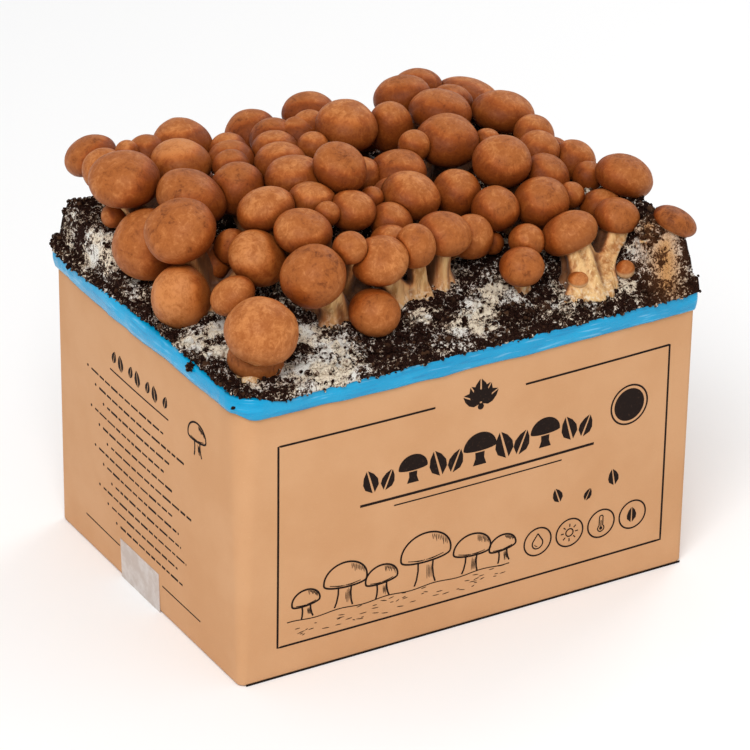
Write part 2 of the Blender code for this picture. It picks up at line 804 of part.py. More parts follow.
def stem_meets(stem, point, reach):
    """Whether a stem comes within reach of a point."""
    reach = reach + NEARBY
    return any(np.linalg.norm(middle - point) < reach + width for middle, _, width in stem_path(stem))


def cut_by(target, name, mesh, helpers):
    cut = target.modifiers.new(name, "BOOLEAN")
    cut.operation = "DIFFERENCE"
    cut.solver = "EXACT"
    cut.object = add_helper(name, mesh, helpers)


def make_caps(mushrooms, soil_cutter, finish):
    """Each cap gives way to the ones in front of it. One that stands alone keeps its stem."""
    own = [mushroom for mushroom in mushrooms if mushroom.own]
    helpers = helper_collection("in front of caps")
    for i, mushroom in enumerate(own):
        name = ("cap_" if mushroom.cluster else "mushroom_") + mushroom.name
        made = add_object(name, cap_mesh(name, mushroom), finish)
        if not mushroom.cluster:
            stem = helper_collection("stem of " + mushroom.name)
            add_helper("stem_" + mushroom.name, stem_mesh("stem", mushroom), stem)
            boolean(made, "UNION", stem)
            boolean(made, "DIFFERENCE", soil_cutter)
        for other in own[:i]:
            apart = np.linalg.norm(mushroom.centre - other.centre)
            name = mushroom.name + "_" + other.name
            if apart < mushroom.radius + other.radius:
                cut_by(made, "cap_in_" + name, cap_mesh(name, other, CUT_GAP), helpers)
            if not mushroom.cluster and not other.cluster and apart < 2 * other.radius:
                cut_by(made, "stem_in_" + name, stem_mesh(name, other, CUT_GAP), helpers)
        if made.modifiers:
            baked(made)


def make_cluster(cluster, mushrooms, soil_cutter, finish):
    """One body of fused stems and small caps, cut to meet the caps and the casing."""
    order = list(CLUSTERS)
    members = [mushroom for mushroom in mushrooms if mushroom.cluster == cluster]
    stems = add_object("stems_" + cluster, heel_mesh("heel", cluster), finish)
    parts = helper_collection("parts of " + cluster)
    for member in members:
        name = "stem_" + member.name
        add_helper(name, stem_mesh(name, member), parts)
        if not member.own:
            name = "small_" + member.name
            add_helper(name, cap_mesh(name, member), parts)
    boolean(stems, "UNION", parts)
    baked(stems)
    fused = stems.modifiers.new("Remesh", "REMESH")
    fused.mode = "VOXEL"
    fused.voxel_size = FUSING
    baked(stems)
    thin_out(stems, HEEL_FACETS + STEM_FACETS * len(members))
    helpers = helper_collection("cutters of " + cluster)
    for other in mushrooms:
        earlier = other.cluster and order.index(other.cluster) < order.index(cluster)
        by_cap = any(stem_meets(member, other.centre, other.radius) for member in members)
        name = cluster + "_" + other.name
        if by_cap and (other.own or earlier):
            cut_by(stems, "cap_of_" + name, cap_mesh(name, other, CUT_GAP), helpers)
        if not (earlier or not other.cluster):
            continue
        by_stem = any(
            stem_meets(member, middle, width)
            for member in members
            for middle, _, width in stem_path(other)
        )
        if by_stem:
            cut_by(stems, "stem_of_" + name, stem_mesh(name, other, CUT_GAP), helpers)
    for other in order[: order.index(cluster)]:
        if math.dist(CLUSTERS[other], CLUSTERS[cluster]) < HEEL_REACH:
            name = cluster + "_heel_" + other
            cut_by(stems, name, heel_mesh(name, other, CUT_GAP), helpers)
    boolean(stems, "DIFFERENCE", soil_cutter)
    baked(stems)


def main():
    clear_scene()
    make_carton()
    make_tape()
    make_liner()
    mushrooms = placed_mushrooms() + rear_mushrooms()
    make_substrate(mushrooms)
    soil_cutter = make_soil_cutter()
    make_caps(mushrooms, soil_cutter, material("brown_cap", BROWN, 0.5))
    stem_finish = material("stem_flesh", STEM, 0.7)
    for cluster in CLUSTERS:
        make_cluster(cluster, mushrooms, soil_cutter, stem_finish)


main()
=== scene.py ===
"""The looks of the chestnut mushroom grow kit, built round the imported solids.

X runs along the front face to the right, Y to the back, Z up, and lengths are metres.
"""

import functools
import itertools
import math
from typing import NamedTuple

import bmesh
import bpy
import numpy as np
from mathutils import Matrix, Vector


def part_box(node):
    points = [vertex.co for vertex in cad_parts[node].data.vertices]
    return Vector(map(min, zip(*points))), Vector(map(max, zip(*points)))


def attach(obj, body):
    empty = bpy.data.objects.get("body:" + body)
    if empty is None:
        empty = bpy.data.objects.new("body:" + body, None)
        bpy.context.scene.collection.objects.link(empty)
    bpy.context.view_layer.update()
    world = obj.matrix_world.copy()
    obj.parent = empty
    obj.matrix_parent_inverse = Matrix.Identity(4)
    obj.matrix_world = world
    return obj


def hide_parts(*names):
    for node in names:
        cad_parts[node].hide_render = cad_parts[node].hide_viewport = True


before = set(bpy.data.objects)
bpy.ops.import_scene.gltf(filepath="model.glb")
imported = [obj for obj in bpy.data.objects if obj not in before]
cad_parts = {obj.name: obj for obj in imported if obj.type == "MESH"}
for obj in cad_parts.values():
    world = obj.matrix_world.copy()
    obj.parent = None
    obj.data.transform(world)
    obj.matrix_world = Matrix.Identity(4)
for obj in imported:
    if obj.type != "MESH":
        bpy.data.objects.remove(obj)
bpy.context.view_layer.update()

MM = 0.001
GAP = 0.3 * MM

# The carton, measured on its solid where that gives a size
BOX_WIDTH = 300 * MM
BOX_DEPTH = 225 * MM
BOX_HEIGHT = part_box("carton")[1].z
BULGE = 3 * MM
BULGE_REACH = 0.85
BOARD = 4 * MM
FLOOR_BOARD = 7 * MM
CORNER_LOW = 5 * MM
CORNER_HIGH = 3 * MM
CORNER_WORN = 15 * MM
FOOT_ROUND = 1.6 * MM
UNDER_LIFT = 0.35 * MM
WALL_FOOT = 6 * MM
WALL_RINGS = 16
EDGE_WORN = (0.5 * MM, 0.6 * MM)
INSIDE_LEVEL = 140 * MM
SHARP_ANGLE = 50

# The print: places are millimetres on a face, drawn shapes are shares of their size
INK = 0.12 * MM
INK_ROOT = 0.1 * MM
STROKE_STEP = 7
STEM_SIDE = ((0.15, 0.46), (0.145, 0.3), (0.17, 0.12), (0.21, 0.0))
DARK_STEM = ((-0.2, 0.0), (0.2, 0.0), (0.13, 0.2), (0.14, 0.37), (-0.14, 0.37), (-0.13, 0.2))
LEAF_HALF = ((0.05, 0.0), (0.30, 0.25), (0.33, 0.5), (0.22, 0.78), (0.03, 1.0))
FRONT_FRAME = ((-26, 150), (-126, 150), (-126, 20), (133, 20), (133, 150), (34, 150))
SPRIG_TURNS = (62, 31, 0, -31, -62)
ROW_SIZES = (15, 19, 17, 22, 18, 20, 16)
ROW_LEVEL = 106
GROVE = ((-107, 18, 5), (-83.5, 28, -3), (-58, 21, 4), (-30, 33, 0), (0, 25, -4), (23, 18, 6))
GRASS = 54
ICONS = (46, 68, 90, 112)
ICON_LEVEL = 43
LEAVES = ((60, 66, 10, 20), (78, 62, 8, -24), (98, 67, 11, 10))
BADGE = (106, 118)
BADGE_RADIUS = 10.4
# A painted shadow: a dark ink line along the foot of the front face, where the carton meets the floor
FOOT_SHADOW_LINE = ((-146, 0.65), (148, 0.65))
RULES = 12
RULE_STEP = 8.2
RULE_GAP = 1.6

# The film liner
FILM = 0.8 * MM
COLLAR_LOW = 171 * MM
COLLAR_MIDDLE = 178 * MM
COLLAR_STAND = 2.2 * MM
COLLAR_FOOT = 1.0 * MM
RIM = BOX_HEIGHT + GAP + FILM
FOLD_RISE = 0.9 * MM
HEM_LEFT = 3.2
HEM_DROP = 0.7 * MM
FOLD_FILM = 0.35 * MM
CREASE = 0.6 * MM
TUCK = 0.65
TUCK_REACH = 60 * MM
LINER_TOP = RIM - 0.2 * MM
BAG_LEVELS = (60 * MM, 120 * MM)
BAG_HIGH = 150 * MM
HEM = -COLLAR_FOOT - FILM + 0.4 * MM
HEM_RINGS = 12
FOLD_RINGS = 14
FOLD_START = 170
FOLD_BEND = 0.6
INSIDE_RINGS = 8
LOOSE_LEVEL = 160 * MM
LINER_STEPS = {"corner_steps": 18, "side_steps": 110}
HEM_LEFT_BAND = (60 * MM, -40 * MM)
HEM_FRONT_BAND = (-80 * MM, -BOX_DEPTH / 2)
HEM_ALONG_BAND = (-110 * MM, -40 * MM)
SHARP_CREASE = 0.45
INSIDE_CREASE = 0.25
PLEAT_BAND = (0.88, 0.95)

# The casing, its crumbs and its threads; levels are heights above the rim
SOIL_INSET = BOARD + 2 * GAP + FILM
SOIL_SPILL = 1 * MM
SOIL_LIFT = 1 * MM
EDGE_RISE = 1.1 * MM
EDGE_REACH = 5 * MM
CALM_REACH = 6 * MM
CALM = 0.35
PIT_BREADTH = 0.25
PIT_SLOPE = 4
PIT_DEPTH = 1.4
LIP = ((1.6, 0.0), (3.2, 0.05), (4.5, 0.3), (5.2, 0.7), (5.0, 1.0))
LIP_DROP = 3.0 * MM
LIP_RANGE = (0.3, 1.5)
LIP_LESS = 0.75
LIP_OPEN_X = (-BOX_WIDTH / 2 + 22 * MM, -BOX_WIDTH / 2 + 8 * MM)
LIP_OPEN_Y = (80 * MM, -10 * MM)
LIP_OPEN_LIFT = 0.6 * MM
LIP_CRUMBS = 2700
LIP_SCATTER = 0.4 * MM
LIP_LEAST = 1.0 * MM
LIP_MOST = 3.6 * MM
BURIED = "64"
CLODS = 150
CLOD_REACH = 6 * MM
CLOD_LEAST = 2.5 * MM
CLOD_MOST = 6 * MM
SOIL_MIDDLE = 16 * MM
SOIL_RIGHT = 19 * MM
SOIL_BACK_LEFT = 12 * MM
FRONT_SLOPE = 70 * MM
CORNER_SLOPE = 9 * MM
LEFT_SLOPE = 85 * MM
RIGHT_SLOPE = 8 * MM
REAR_SLOPE = 6 * MM
RIGHT_BAND = (95 * MM, 140 * MM)
LEFT_BAND = (-60 * MM, -130 * MM)
BACK_BAND = (10 * MM, 90 * MM)
LEFT_EDGE_BAND = (0, 80 * MM)
SOIL_HALF = (BOX_WIDTH / 2 - SOIL_SPILL, BOX_DEPTH / 2 - SOIL_SPILL)
CASING_GRID = (210, 156)
CASING_LEVELS = (FLOOR_BOARD + 2 * GAP + FILM, 95 * MM, RIM - 4 * MM, RIM + GAP)
UNDER_CAPS = 0.3
CRUMBS = (
    ("crumbs_large", 3100, 2.2 * MM, 5.6 * MM, 2),
    ("crumbs_middle", 8600, 1.3 * MM, 3.2 * MM, 1),
    ("crumbs_small", 8800, 0.5 * MM, 1.6 * MM, 1),
)
CRUMB_LIFT = 0.3
LIP_CRUMB_LIFT = 0.2
CRUMB_STRETCH = (0.6, 1.25)
CRUMB_DENTS = (-0.38, 0.26)
CRUMB_GROWTH = (0.2, 1.0)
HEEL_GROWTH = 0.55
THREADS = 600
THREAD_TRIES = 6
THREAD_STEPS = 5
THREAD_BEND = 0.5
THREAD_ROOM = 8 * MM

# Mushrooms: what has no unit is a share of a cap's radius or of a length
CAP_FLATNESS = 0.76
ROUND_SEEN = 0.8
FLATTER = 0.02
FACING_LIMIT = 0.4
SIDEWAYS = (0.3, 0.9, 0.1)
STEM_ROOT = 5 * MM
STEM_REACH_X = 130 * MM
STEM_REACH_Y = 92 * MM
STEM_TOP = 0.40
STEM_WAIST = 0.36
STEM_FOOT = 0.46
STEM_DRAW = 0.50
STEM_INSIDE = 0.4
STEM_PULL = 0.4
SEEN_STEM = 1.3
SEEN_STEMS = {"61": 1.75, "60": 1.9, "60b": 1.7}
FOOT_FLARE = 0.25
FLUTE_DEPTH = 0.13
FINE_FLUTE_DEPTH = 0.05
FLUTE_TWIST = 1.2
STEM_AROUND = 24
STEM_RINGS = 14
SKIN_GRAIN = 1.3 * MM
AROUND = 48
DOME_RINGS = 24
DOME_START = 5
DOME_END = 125
GRAIN_LENGTH = 0.16
HIDDEN_UPRIGHT = 1.5
HIDDEN_FLATNESS = 0.8
SOFTNESS = 0.035
NEIGHBOUR_REACH = 1.2
DEPTH_LEAST = 0.2
DEPTH_MOST = 1.4
PART_APART = 0.37
TONE_SPREAD = 0.12
# Painted shade on the downward-facing side of a cap
LOW_SIDE_SHADE = 0.35
BUD_VEIL = 0.95
BUD_VEIL_BAND = (0.02, 0.45)
RIM_BAND = (0.5, 1.0)
EVEN_ROUNDS = 3
HOLLOW_ROUNDS = 14
HOLLOW_BAND = (0.08 * MM, 0.5 * MM)
FOOT_BAND = (9 * MM, 0)
# Painted shade on stems is worked out looking this far upward of their skin
STEM_UPWARD = 0.6
HEEL_RADIUS = 30 * MM
HEEL_RISE = 12 * MM
HEEL_DEPTH = 4 * MM
HEEL_RINGS = ((0.80, 0.0), (0.76, 0.35), (0.60, 0.62), (0.38, 0.78), (0.12, 0.86))

# A cap's underside: breadth and height over its radius, share of its curve, how far it is hidden
CAP_UNDERSIDE = ((0.3, -0.46, 1.3, 1), (0.45, -0.50, 1.25, 1), (0.62, -0.62, 1.18, 1),
                 (0.72, -0.665, 1.1, 0.5))
CAP_HOLLOW = -0.45
CAP_HOLLOW_SHARE = 1.35

# Noise in layers: size in millimetres, seed, strength and, where not 1, upright squeeze
FILM_CREASES = ((17, 41, 0.7, 0.5), (6, 42, 0.25))
FILM_FOLDS = ((11, 43, 3, 1.6),)
FILM_PLEATS = ((4.5, 44, 1.1, 0.3),)
HEM_WAVES = ((34, 45, 0.6), (12, 46, 0.3))
RIM_WAVES = ((22, 47, 0.35),)
SOIL_LUMPS = ((9, 11, 1.5), (3.4, 12, 1.2))
SOIL_PITS = ((4.2, 14, 1),)
SOIL_GRAIN = ((1.7, 13, 0.7),)
LIP_RAGS = ((15, 15, 0.35), (5, 16, 0.25))
LIP_ASIDE = ((3.6, 17, 0.7), (1.6, 18, 0.4))
LIP_UP = ((2.8, 19, 0.5),)
CAP_LUMPS = ((15, 51, 0.035), (6, 52, 0.012))
STEM_FIBRES = ((2.6, 61, 0.40, 0.22), (6, 62, 0.5, 0.4))

# Heights of the cap centres above the rim, and the bands over which they change
CANOPY_FRONT = 16 * MM
CANOPY_RISE = 42 * MM
CANOPY_RISE_BAND = (-100 * MM, -5 * MM)
CANOPY_FALL = 6 * MM
CANOPY_FALL_BAND = (50 * MM, 115 * MM)
CANOPY_LEFT = 15 * MM
CANOPY_LEFT_RISE = 37 * MM
CANOPY_LEFT_BAND = (-30 * MM, 110 * MM)
CANOPY_RIGHT = 26 * MM
CANOPY_RIGHT_RISE = 22 * MM
CANOPY_RIGHT_BAND = (-90 * MM, 10 * MM)
TO_LEFT_BAND = (-70 * MM, -140 * MM)
TO_RIGHT_BAND = (60 * MM, 135 * MM)
CANOPY_SEARCH = (-20 * MM, 130 * MM)
CANOPY_HALVINGS = 40

# How the caps make room for each other
REST_ROUNDS = 240
TOUCH = 0.3 * MM
YIELD = 0.25
MOST_YIELD = 6 * MM
LEAST_FACING = 0.25
RETURN = 0.01
MOST_STEP = 3 * MM

# The view of the photograph: the places in it are pixels of its 750 x 750 frame
FRAME_SIZE = 750
SENSOR = 36
VIEW_TARGET = np.array((0, 0, 100 * MM))
VIEW_DISTANCE = 2742 * MM
VIEW_FOCAL = 4648
VIEW_CENTRE = (372.2, 391.9)
VIEW_AZIMUTH = -30.42
VIEW_ELEVATION = 27.99
VIEW_ROLL = 0.87
PIXEL = 0.59 * MM
SPREAD = 1.35
CLIP_END = 20

# Light and floor; a light has a name, a direction, a breadth and a power
SKY = 0.68
LIGHTS = (("key", (-0.62, -0.72, 1.1), 0.9, 24), ("rim", (0.9, 0.5, 0.8), 0.8, 8))
LIGHT_DISTANCE = 2.2
FLOOR_HALF = 3.0


class Cap(NamedTuple):
    """A cap as it is seen. px and py are its centre, width is its breadth in millimetres."""

    name: str
    px: float
    py: float
    width: float
    seen: float  # breadth of the outline over its length
    tilt: float  # degrees by which the outline's length falls to the right
    forward: float = 0  # millimetres moved towards the viewer


# The nearer of two caps stands first
CAPS = [Cap(*row) for row in (
    ("28", 262, 332, 42, 0.93, 15, 5), ("31", 374.5, 312.5, 30, 0.92, 20),
    ("07", 181, 297.5, 34, 1.09, 0), ("63", 521.5, 267, 26, 0.90, 0),
    ("64", 675, 221, 27, 0.59, 28, 26), ("29", 246, 362, 33, 0.78, 20, -6),
    ("26", 313.5, 276.5, 38, 0.96, -30), ("27", 233, 296, 27, 0.79, -35),
    ("24", 257, 258.5, 35, 0.88, 40), ("30", 380, 261, 33, 0.87, -12), ("06", 180, 231, 42, 0.88, -25),
    ("05", 148, 245, 41, 1.03, -10), ("36", 415, 247, 24, 1.10, 0), ("37", 444.5, 234, 32, 0.82, 15),
    ("61", 569, 234, 34, 0.75, -25), ("60", 617, 216, 27, 0.80, 10),
    ("59", 624, 176.5, 35, 0.74, 20, 20), ("38", 471, 237, 26, 1.04, 0), ("35", 391, 244, 25, 0.89, 20),
    ("33", 352, 211, 28, 0.86, 10), ("40", 495.5, 209, 28, 0.96, 0), ("56", 541, 202.5, 33, 0.91, 0),
    ("23", 303, 232, 33, 0.83, 10), ("08", 191, 198, 42, 0.76, 25), ("41", 410.5, 196, 35, 0.81, 20),
    ("54", 502, 162, 35, 0.93, 0), ("44", 447, 141, 38, 0.85, 10), ("03", 124.5, 180, 42, 0.83, 0),
    ("16", 266, 210, 34, 0.77, -20), ("43", 457, 193, 29, 0.98, 0), ("42", 397, 174, 35, 0.83, -10),
    ("74", 340, 168, 33, 0.86, 40), ("21", 296, 179, 37, 0.75, 0), ("15", 238, 189, 32, 0.98, 0),
    ("09", 181, 163, 36, 0.81, 10), ("71", 347, 126, 37, 0.84, 15), ("51", 503, 113, 39, 0.69, 10),
    ("45", 440, 112, 38, 0.73, 10), ("53", 538, 150, 26, 0.91, 10), ("57", 573, 161, 27, 0.95, 20),
    ("72", 309, 113, 33, 0.79, 0), ("17", 251, 133, 32, 0.89, -20), ("10", 183, 144, 36, 0.84, 15),
    ("01", 91, 156, 32, 0.78, -20, 12), ("50", 390, 128, 27, 1.15, 0), ("49", 402, 97, 35, 0.76, -10),
    ("48", 418, 86, 30, 0.74, 0), ("47", 468, 95, 39, 0.56, 15),
)]

# Mushrooms that stand apart, each one piece with its stem
ALONE = ("28", "31", "07", "63", "64", "29")

# Small caps are one with the stems that they grow on
SMALL_CAPS = [Cap(*row) for row in (
    ("20", 281, 163, 31, 0.81, 0), ("22", 312, 200, 28, 0.76, 10), ("34", 391, 222, 25, 0.91, 20),
    ("55", 547, 176, 29, 0.84, 50), ("60b", 600, 205, 25, 0.77, -10), ("57b", 588, 177, 19, 1.00, 0),
    ("32", 350, 248, 20, 0.97, -10), ("62", 527, 241, 21, 0.97, 0), ("14", 231, 166, 22, 0.89, 0),
    ("13", 231, 160, 28, 0.83, 0), ("19", 275, 150, 28, 0.83, 0), ("18", 273, 139, 28, 0.92, 0),
    ("73", 313, 146, 19, 0.91, 0), ("70", 310, 126, 22, 0.89, 0), ("11", 147, 152, 23, 0.90, 15),
    ("12", 127, 152, 14, 1.00, 0, 10), ("02", 104, 170, 26, 1.00, 0),
    ("04", 113, 216, 14, 1.05, 0, -14), ("46", 452, 101, 26, 0.77, 15), ("52", 534, 135, 26, 0.91, 45),
    ("68", 487, 138, 15, 0.77, 0), ("69", 414, 146, 19, 1.00, 0), ("58", 571, 195, 16, 1.00, 0),
    ("39", 492, 243, 14, 1.00, 0), ("25", 232, 247, 21, 1.00, 0), ("75", 372, 198, 14, 1.00, 0),
    ("77", 327, 214, 15, 1.00, 0), ("65", 578, 280, 12, 0.86, 0, -10),
    ("66", 625.5, 269.5, 11, 1.00, 0, -18),
)]

# Caps behind the others: name, x, y, level above the rim, breadth, and lean to right and back
REAR_CAPS = (
    ("81", -108, 98, 34, 26, -0.2, 0.5), ("82", -66, 100, 24, 28, 0.0, 0.6),
    ("83", -6, 106, 25, 30, 0.1, 0.6), ("84", 42, 100, 30, 34, 0.1, 0.5),
    ("85", 88, 104, 30, 30, 0.2, 0.6), ("86", 138, 78, 33, 26, 0.6, 0.2),
    ("87", 140, 27, 30, 22, 0.6, 0.0), ("88", 28, 36, 36, 28, 0.1, 0.2),
    ("89", -10, 24, 38, 24, 0.0, 0.2), ("90", 98, 8, 36, 24, 0.2, 0.1),
    ("91", -36, 90, 33, 26, 0.0, 0.4), ("92", -98, 48, 38, 26, -0.1, 0.2),
)

# Where the clusters rise from the casing
CLUSTERS = {
    "front_left": (-106 * MM, -6 * MM),
    "back_left": (-102 * MM, 74 * MM),
    "front": (-54 * MM, -48 * MM),
    "middle": (-62 * MM, 14 * MM),
    "centre": (12 * MM, -26 * MM),
    "back": (-12 * MM, 66 * MM),
    "back_right": (86 * MM, 62 * MM),
    "right": (98 * MM, -38 * MM),
}

# Where some stems are seen to enter the casing
FEET = {
    "61": (587, 291),
    "60": (604, 294),
    "60b": (603, 286),
    "36": (419, 291),
    "37": (437, 279),
    "26": (333, 311),
    "30": (397, 294),
}

# Caps in the gaps of the heap: name, seen place, breadth and how far they lie behind the others
HIDDEN_CAPS = (
    ("93", 299, 135, 24, 14), ("94", 362, 176, 24, 16), ("95", 438, 228, 22, 16),
    ("96", 228, 150, 22, 14), ("97", 392, 196, 24, 16), ("98", 212, 262, 22, 12),
)

# Caps that end up aside of their seen places: moved right and forward, in millimetres
NUDGES = {"29": (5.5, 5)}

# Buds whose edges are still veiled in pale flesh
BUDS = ("65", "66")

# Caps that are seen to be paler or darker than the rest
TONES = {
    "28": 0.14, "07": 0.26, "24": 0.20, "41": 0.14, "31": -0.08, "47": 0.1, "71": 0.1, "59": 0.0,
    "09": 0.3, "63": -0.08, "64": -0.25, "27": 0.10, "29": -0.10, "65": 0.25, "66": 0.15,
}

# Where mycelium is thick on the casing: seen place, reach in pixels and strength
GROWTH = [
    (100, 236, 10, 0.6), (91, 247, 8, 0.45), (71, 249, 8, 0.3), (112, 256, 6, 0.7),
    (132, 286, 8, 0.4), (194, 343, 13, 0.9), (216, 328, 11, 0.9), (222, 351, 13, 0.9),
    (337, 351, 14, 1.0), (333, 369, 17, 1.0), (312, 374, 17, 1.0), (308, 331, 11, 0.8),
    (350, 366, 9, 0.8), (424, 317, 9, 0.7), (459, 331, 8, 0.7), (470, 313, 9, 0.7),
    (494, 291, 12, 0.9), (479, 309, 12, 1.0), (482, 327, 9, 0.9), (515, 294, 8, 0.6),
    (562, 306, 9, 0.7), (568, 291, 9, 0.8), (590, 296, 10, 0.9), (626, 284, 8, 0.6),
    (648, 257, 10, 0.4), (667, 246, 9, 0.65), (636, 247, 9, 0.6), (673, 280, 8, 0.4),
    (448, 345, 10, 0.4), (285, 372, 12, 0.6), (262, 384, 10, 0.5), (160, 318, 9, 0.4),
]

# Where the casing is stained a rusty tan, in the same terms
RUST = [(666, 262, 15, 1.0), (650, 238, 9, 0.9), (640, 262, 8, 0.5), (80, 205, 9, 0.7)]

# Loose crumbs on the liner's fold: pixel and breadth in millimetres
LOOSE_CRUMBS = [(190, 367, 7.5), (233, 408, 2.0), (225, 388, 1.6), (325, 391, 1.8), (400, 373, 1.5)]


def ease(low, high, value):
    """0 below low, 1 above high, smooth between them."""
    part = np.clip((value - low) / (high - low), 0, 1)
    return part * part * (3 - 2 * part)


def noise(points, size, seed):
    """Smooth values between -1 and 1 that change over the given size."""
    cells = 32
    grid = np.random.default_rng(seed).uniform(-1, 1, (cells, cells, cells))
    at = points / size
    cell = np.floor(at).astype(int)
    part = at - cell
    part = part * part * (3 - 2 * part)
    total = 0
    for corner in itertools.product((0, 1), repeat=3):
        weight = np.prod(np.where(corner, part, 1 - part), axis=1)
        x, y, z = ((cell + corner) % cells).T
        total = total + weight * grid[x, y, z]
    return total


def relief(points, layers):
    """The sum of layers of noise."""
    total = 0
    for size, seed, strength, *squeeze in layers:
        total = total + noise(points * (1, 1, *(squeeze or [1])), size * MM, seed) * strength
    return total


# Meshes


def put_attribute(mesh, name, values):
    values = np.asarray(values, np.float32)
    kind = "FLOAT_VECTOR" if values.ndim == 2 else "FLOAT"
    field = "vector" if values.ndim == 2 else "value"
    mesh.attributes.new(name, kind, "POINT").data.foreach_set(field, values.ravel())


def linked(name, data):
    """A new object of the scene with the given mesh, light or camera."""
    made = bpy.data.objects.new(name, data)
    bpy.context.scene.collection.objects.link(made)
    return made


def add_mesh(name, points, faces, finish, smooth=True, **attributes):
    """A piece from points and faces; faces is one array, or a list of arrays or lists."""
    mesh = bpy.data.meshes.new(name)
    groups = faces if isinstance(faces, list) else [faces]
    lists = [group if isinstance(group, list) else np.asarray(group).tolist() for group in groups]
    mesh.from_pydata(np.asarray(points).tolist(), [], list(itertools.chain(*lists)))
    mesh.validate()
    if smooth:
        mesh.shade_smooth()
    for key, values in attributes.items():
        put_attribute(mesh, key, values)
    mesh.materials.append(finish)
    made = linked(name, mesh)
    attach(made, "root")
    return made


def unit(vector):
    return vector / np.linalg.norm(vector)


def units(rows):
    """Each row as a unit vector."""
    return rows / np.maximum(np.linalg.norm(rows, axis=1), 1e-12)[:, None]


def spokes_round(across, along, count):
    """Unit vectors round the axis that across and along are square to."""
    turns = np.linspace(0, 2 * math.pi, count, endpoint=False)
    return turns, np.outer(np.cos(turns), across) + np.outer(np.sin(turns), along)


def tube_faces(rings, count, first=0):
    """Quads between rings of points that follow each other, round each ring."""
    rows = first + np.arange(rings - 1)[:, None] * count
    here = np.arange(count)
    there = (here + 1) % count
    quads = np.stack((rows + here, rows + there, rows + count + there, rows + count + here), -1)
    return quads.reshape(-1, 4)


def joined(bodies):
    """Points and faces of closed bodies through rings, each with its underside first."""
    faces, first = [], 0
    for rings in bodies:
        count = len(rings[0])
        last = first + (len(rings) - 1) * count
        faces += tube_faces(len(rings), count, first).tolist()
        faces += [tuple(range(first, first + count))[::-1], tuple(range(last, last + count))]
        first = last + count
    return np.concatenate([np.concatenate(rings) for rings in bodies]), faces


def outline(inset, z, corner_steps=10, side_steps=40):
    """Plan points of the carton's faces at height z, moved inwards, counter-clockwise."""
    share = min(max(z / BOX_HEIGHT, 0), 1)
    half = np.array((BOX_WIDTH / 2 - inset, BOX_DEPTH / 2 - inset))
    corners = []
    for sign, start in (((1, -1), -90), ((1, 1), 0), ((-1, 1), 90), ((-1, -1), 180)):
        high = CORNER_WORN if sign == (-1, -1) else CORNER_HIGH
        radius = max(CORNER_LOW + (high - CORNER_LOW) * share - inset, 1 * MM)
        centre = np.array(sign) * (half - radius)
        turns = np.radians(start + np.linspace(0, 90, corner_steps + 1))
        corners.append(centre + radius * np.c_[np.cos(turns), np.sin(turns)])
    points = []
    for i, corner in enumerate(corners):
        points.append(corner)
        first = corner[-1]
        last = corners[(i + 1) % 4][0]
        outward = np.array((math.cos(math.pi / 2 * i), math.sin(math.pi / 2 * i)))
        shares = np.arange(1, side_steps)[:, None] / side_steps
        points.append(first + (last - first) * shares + outward * bow(z, shares))
    return np.concatenate(points)


def bow(z, share):
    """How far a wall stands out at height z, at a share of its length."""
    swell = math.sin(math.pi * BULGE_REACH * min(max(z / BOX_HEIGHT, 0), 1))
    return BULGE * swell * 4 * share * (1 - share)


def ring(inset, z, **steps):
    places = outline(inset, z, **steps)
    return np.c_[places, np.full(len(places), z)]


# The casing's surface


def round_over(distance, reach):
    """0 at an edge, 1 further in than reach, steep at first."""
    part = np.clip(distance / reach, 0, 1)
    return np.sqrt(np.clip(1 - (1 - part) ** 2, 0, 1))


def ramp(distance, reach):
    """0 at an edge, 1 further in than reach, even at first."""
    return np.sin(np.clip(distance / reach, 0, 1) * math.pi / 2)


def soil_height(x, y):
    """Height of the casing's surface: low along the front, heaped at the back and right."""
    half_x, half_y = SOIL_HALF
    to_right = ease(*RIGHT_BAND, x)
    to_left = ease(*LEFT_BAND, x)
    heap = SOIL_MIDDLE + SOIL_RIGHT * to_right
    heap = heap + SOIL_BACK_LEFT * to_left * ease(*BACK_BAND, y)
    front = ramp(y + half_y, FRONT_SLOPE)
    front = front + (round_over(y + half_y, CORNER_SLOPE) - front) * to_right
    left = ramp(x + half_x, LEFT_SLOPE)
    left = left + (round_over(x + half_x, REAR_SLOPE) - left) * ease(*LEFT_EDGE_BAND, y)
    right = round_over(half_x - x, RIGHT_SLOPE)
    back = round_over(half_y - y, REAR_SLOPE)
    return RIM + SOIL_LIFT + heap * front * left * right * back


# The view and the places of the caps


def view_axes():
    """Unit vectors to the right, up and towards the viewer."""
    azimuth, elevation, roll = np.radians((VIEW_AZIMUTH, VIEW_ELEVATION, VIEW_ROLL))
    flat = math.cos(elevation)
    back = np.array((math.sin(azimuth) * flat, -math.cos(azimuth) * flat, math.sin(elevation)))
    level = np.array((math.cos(azimuth), math.sin(azimuth), 0))
    upright = np.cross(back, level)
    right = level * math.cos(roll) + upright * math.sin(roll)
    up = upright * math.cos(roll) - level * math.sin(roll)
    return right, up, back


RIGHT, UP, BACK = view_axes()
EYE = VIEW_TARGET + BACK * VIEW_DISTANCE


def sight(px, py):
    """The direction from a seen point to the eye."""
    away = -BACK * VIEW_FOCAL + RIGHT * (px - VIEW_CENTRE[0]) - UP * (py - VIEW_CENTRE[1])
    return -unit(away)


def canopy(x, y):
    """Height of the cap centres above the rim: a heap that is lowest at the front."""
    middle = CANOPY_FRONT + CANOPY_RISE * ease(*CANOPY_RISE_BAND, y)
    middle = middle - CANOPY_FALL * ease(*CANOPY_FALL_BAND, y)
    left = CANOPY_LEFT + CANOPY_LEFT_RISE * ease(*CANOPY_LEFT_BAND, y)
    right = CANOPY_RIGHT + CANOPY_RIGHT_RISE * ease(*CANOPY_RIGHT_BAND, y)
    to_left = ease(*TO_LEFT_BAND, x)
    to_right = ease(*TO_RIGHT_BAND, x)
    return middle + (left - middle) * to_left + (right - middle) * to_right


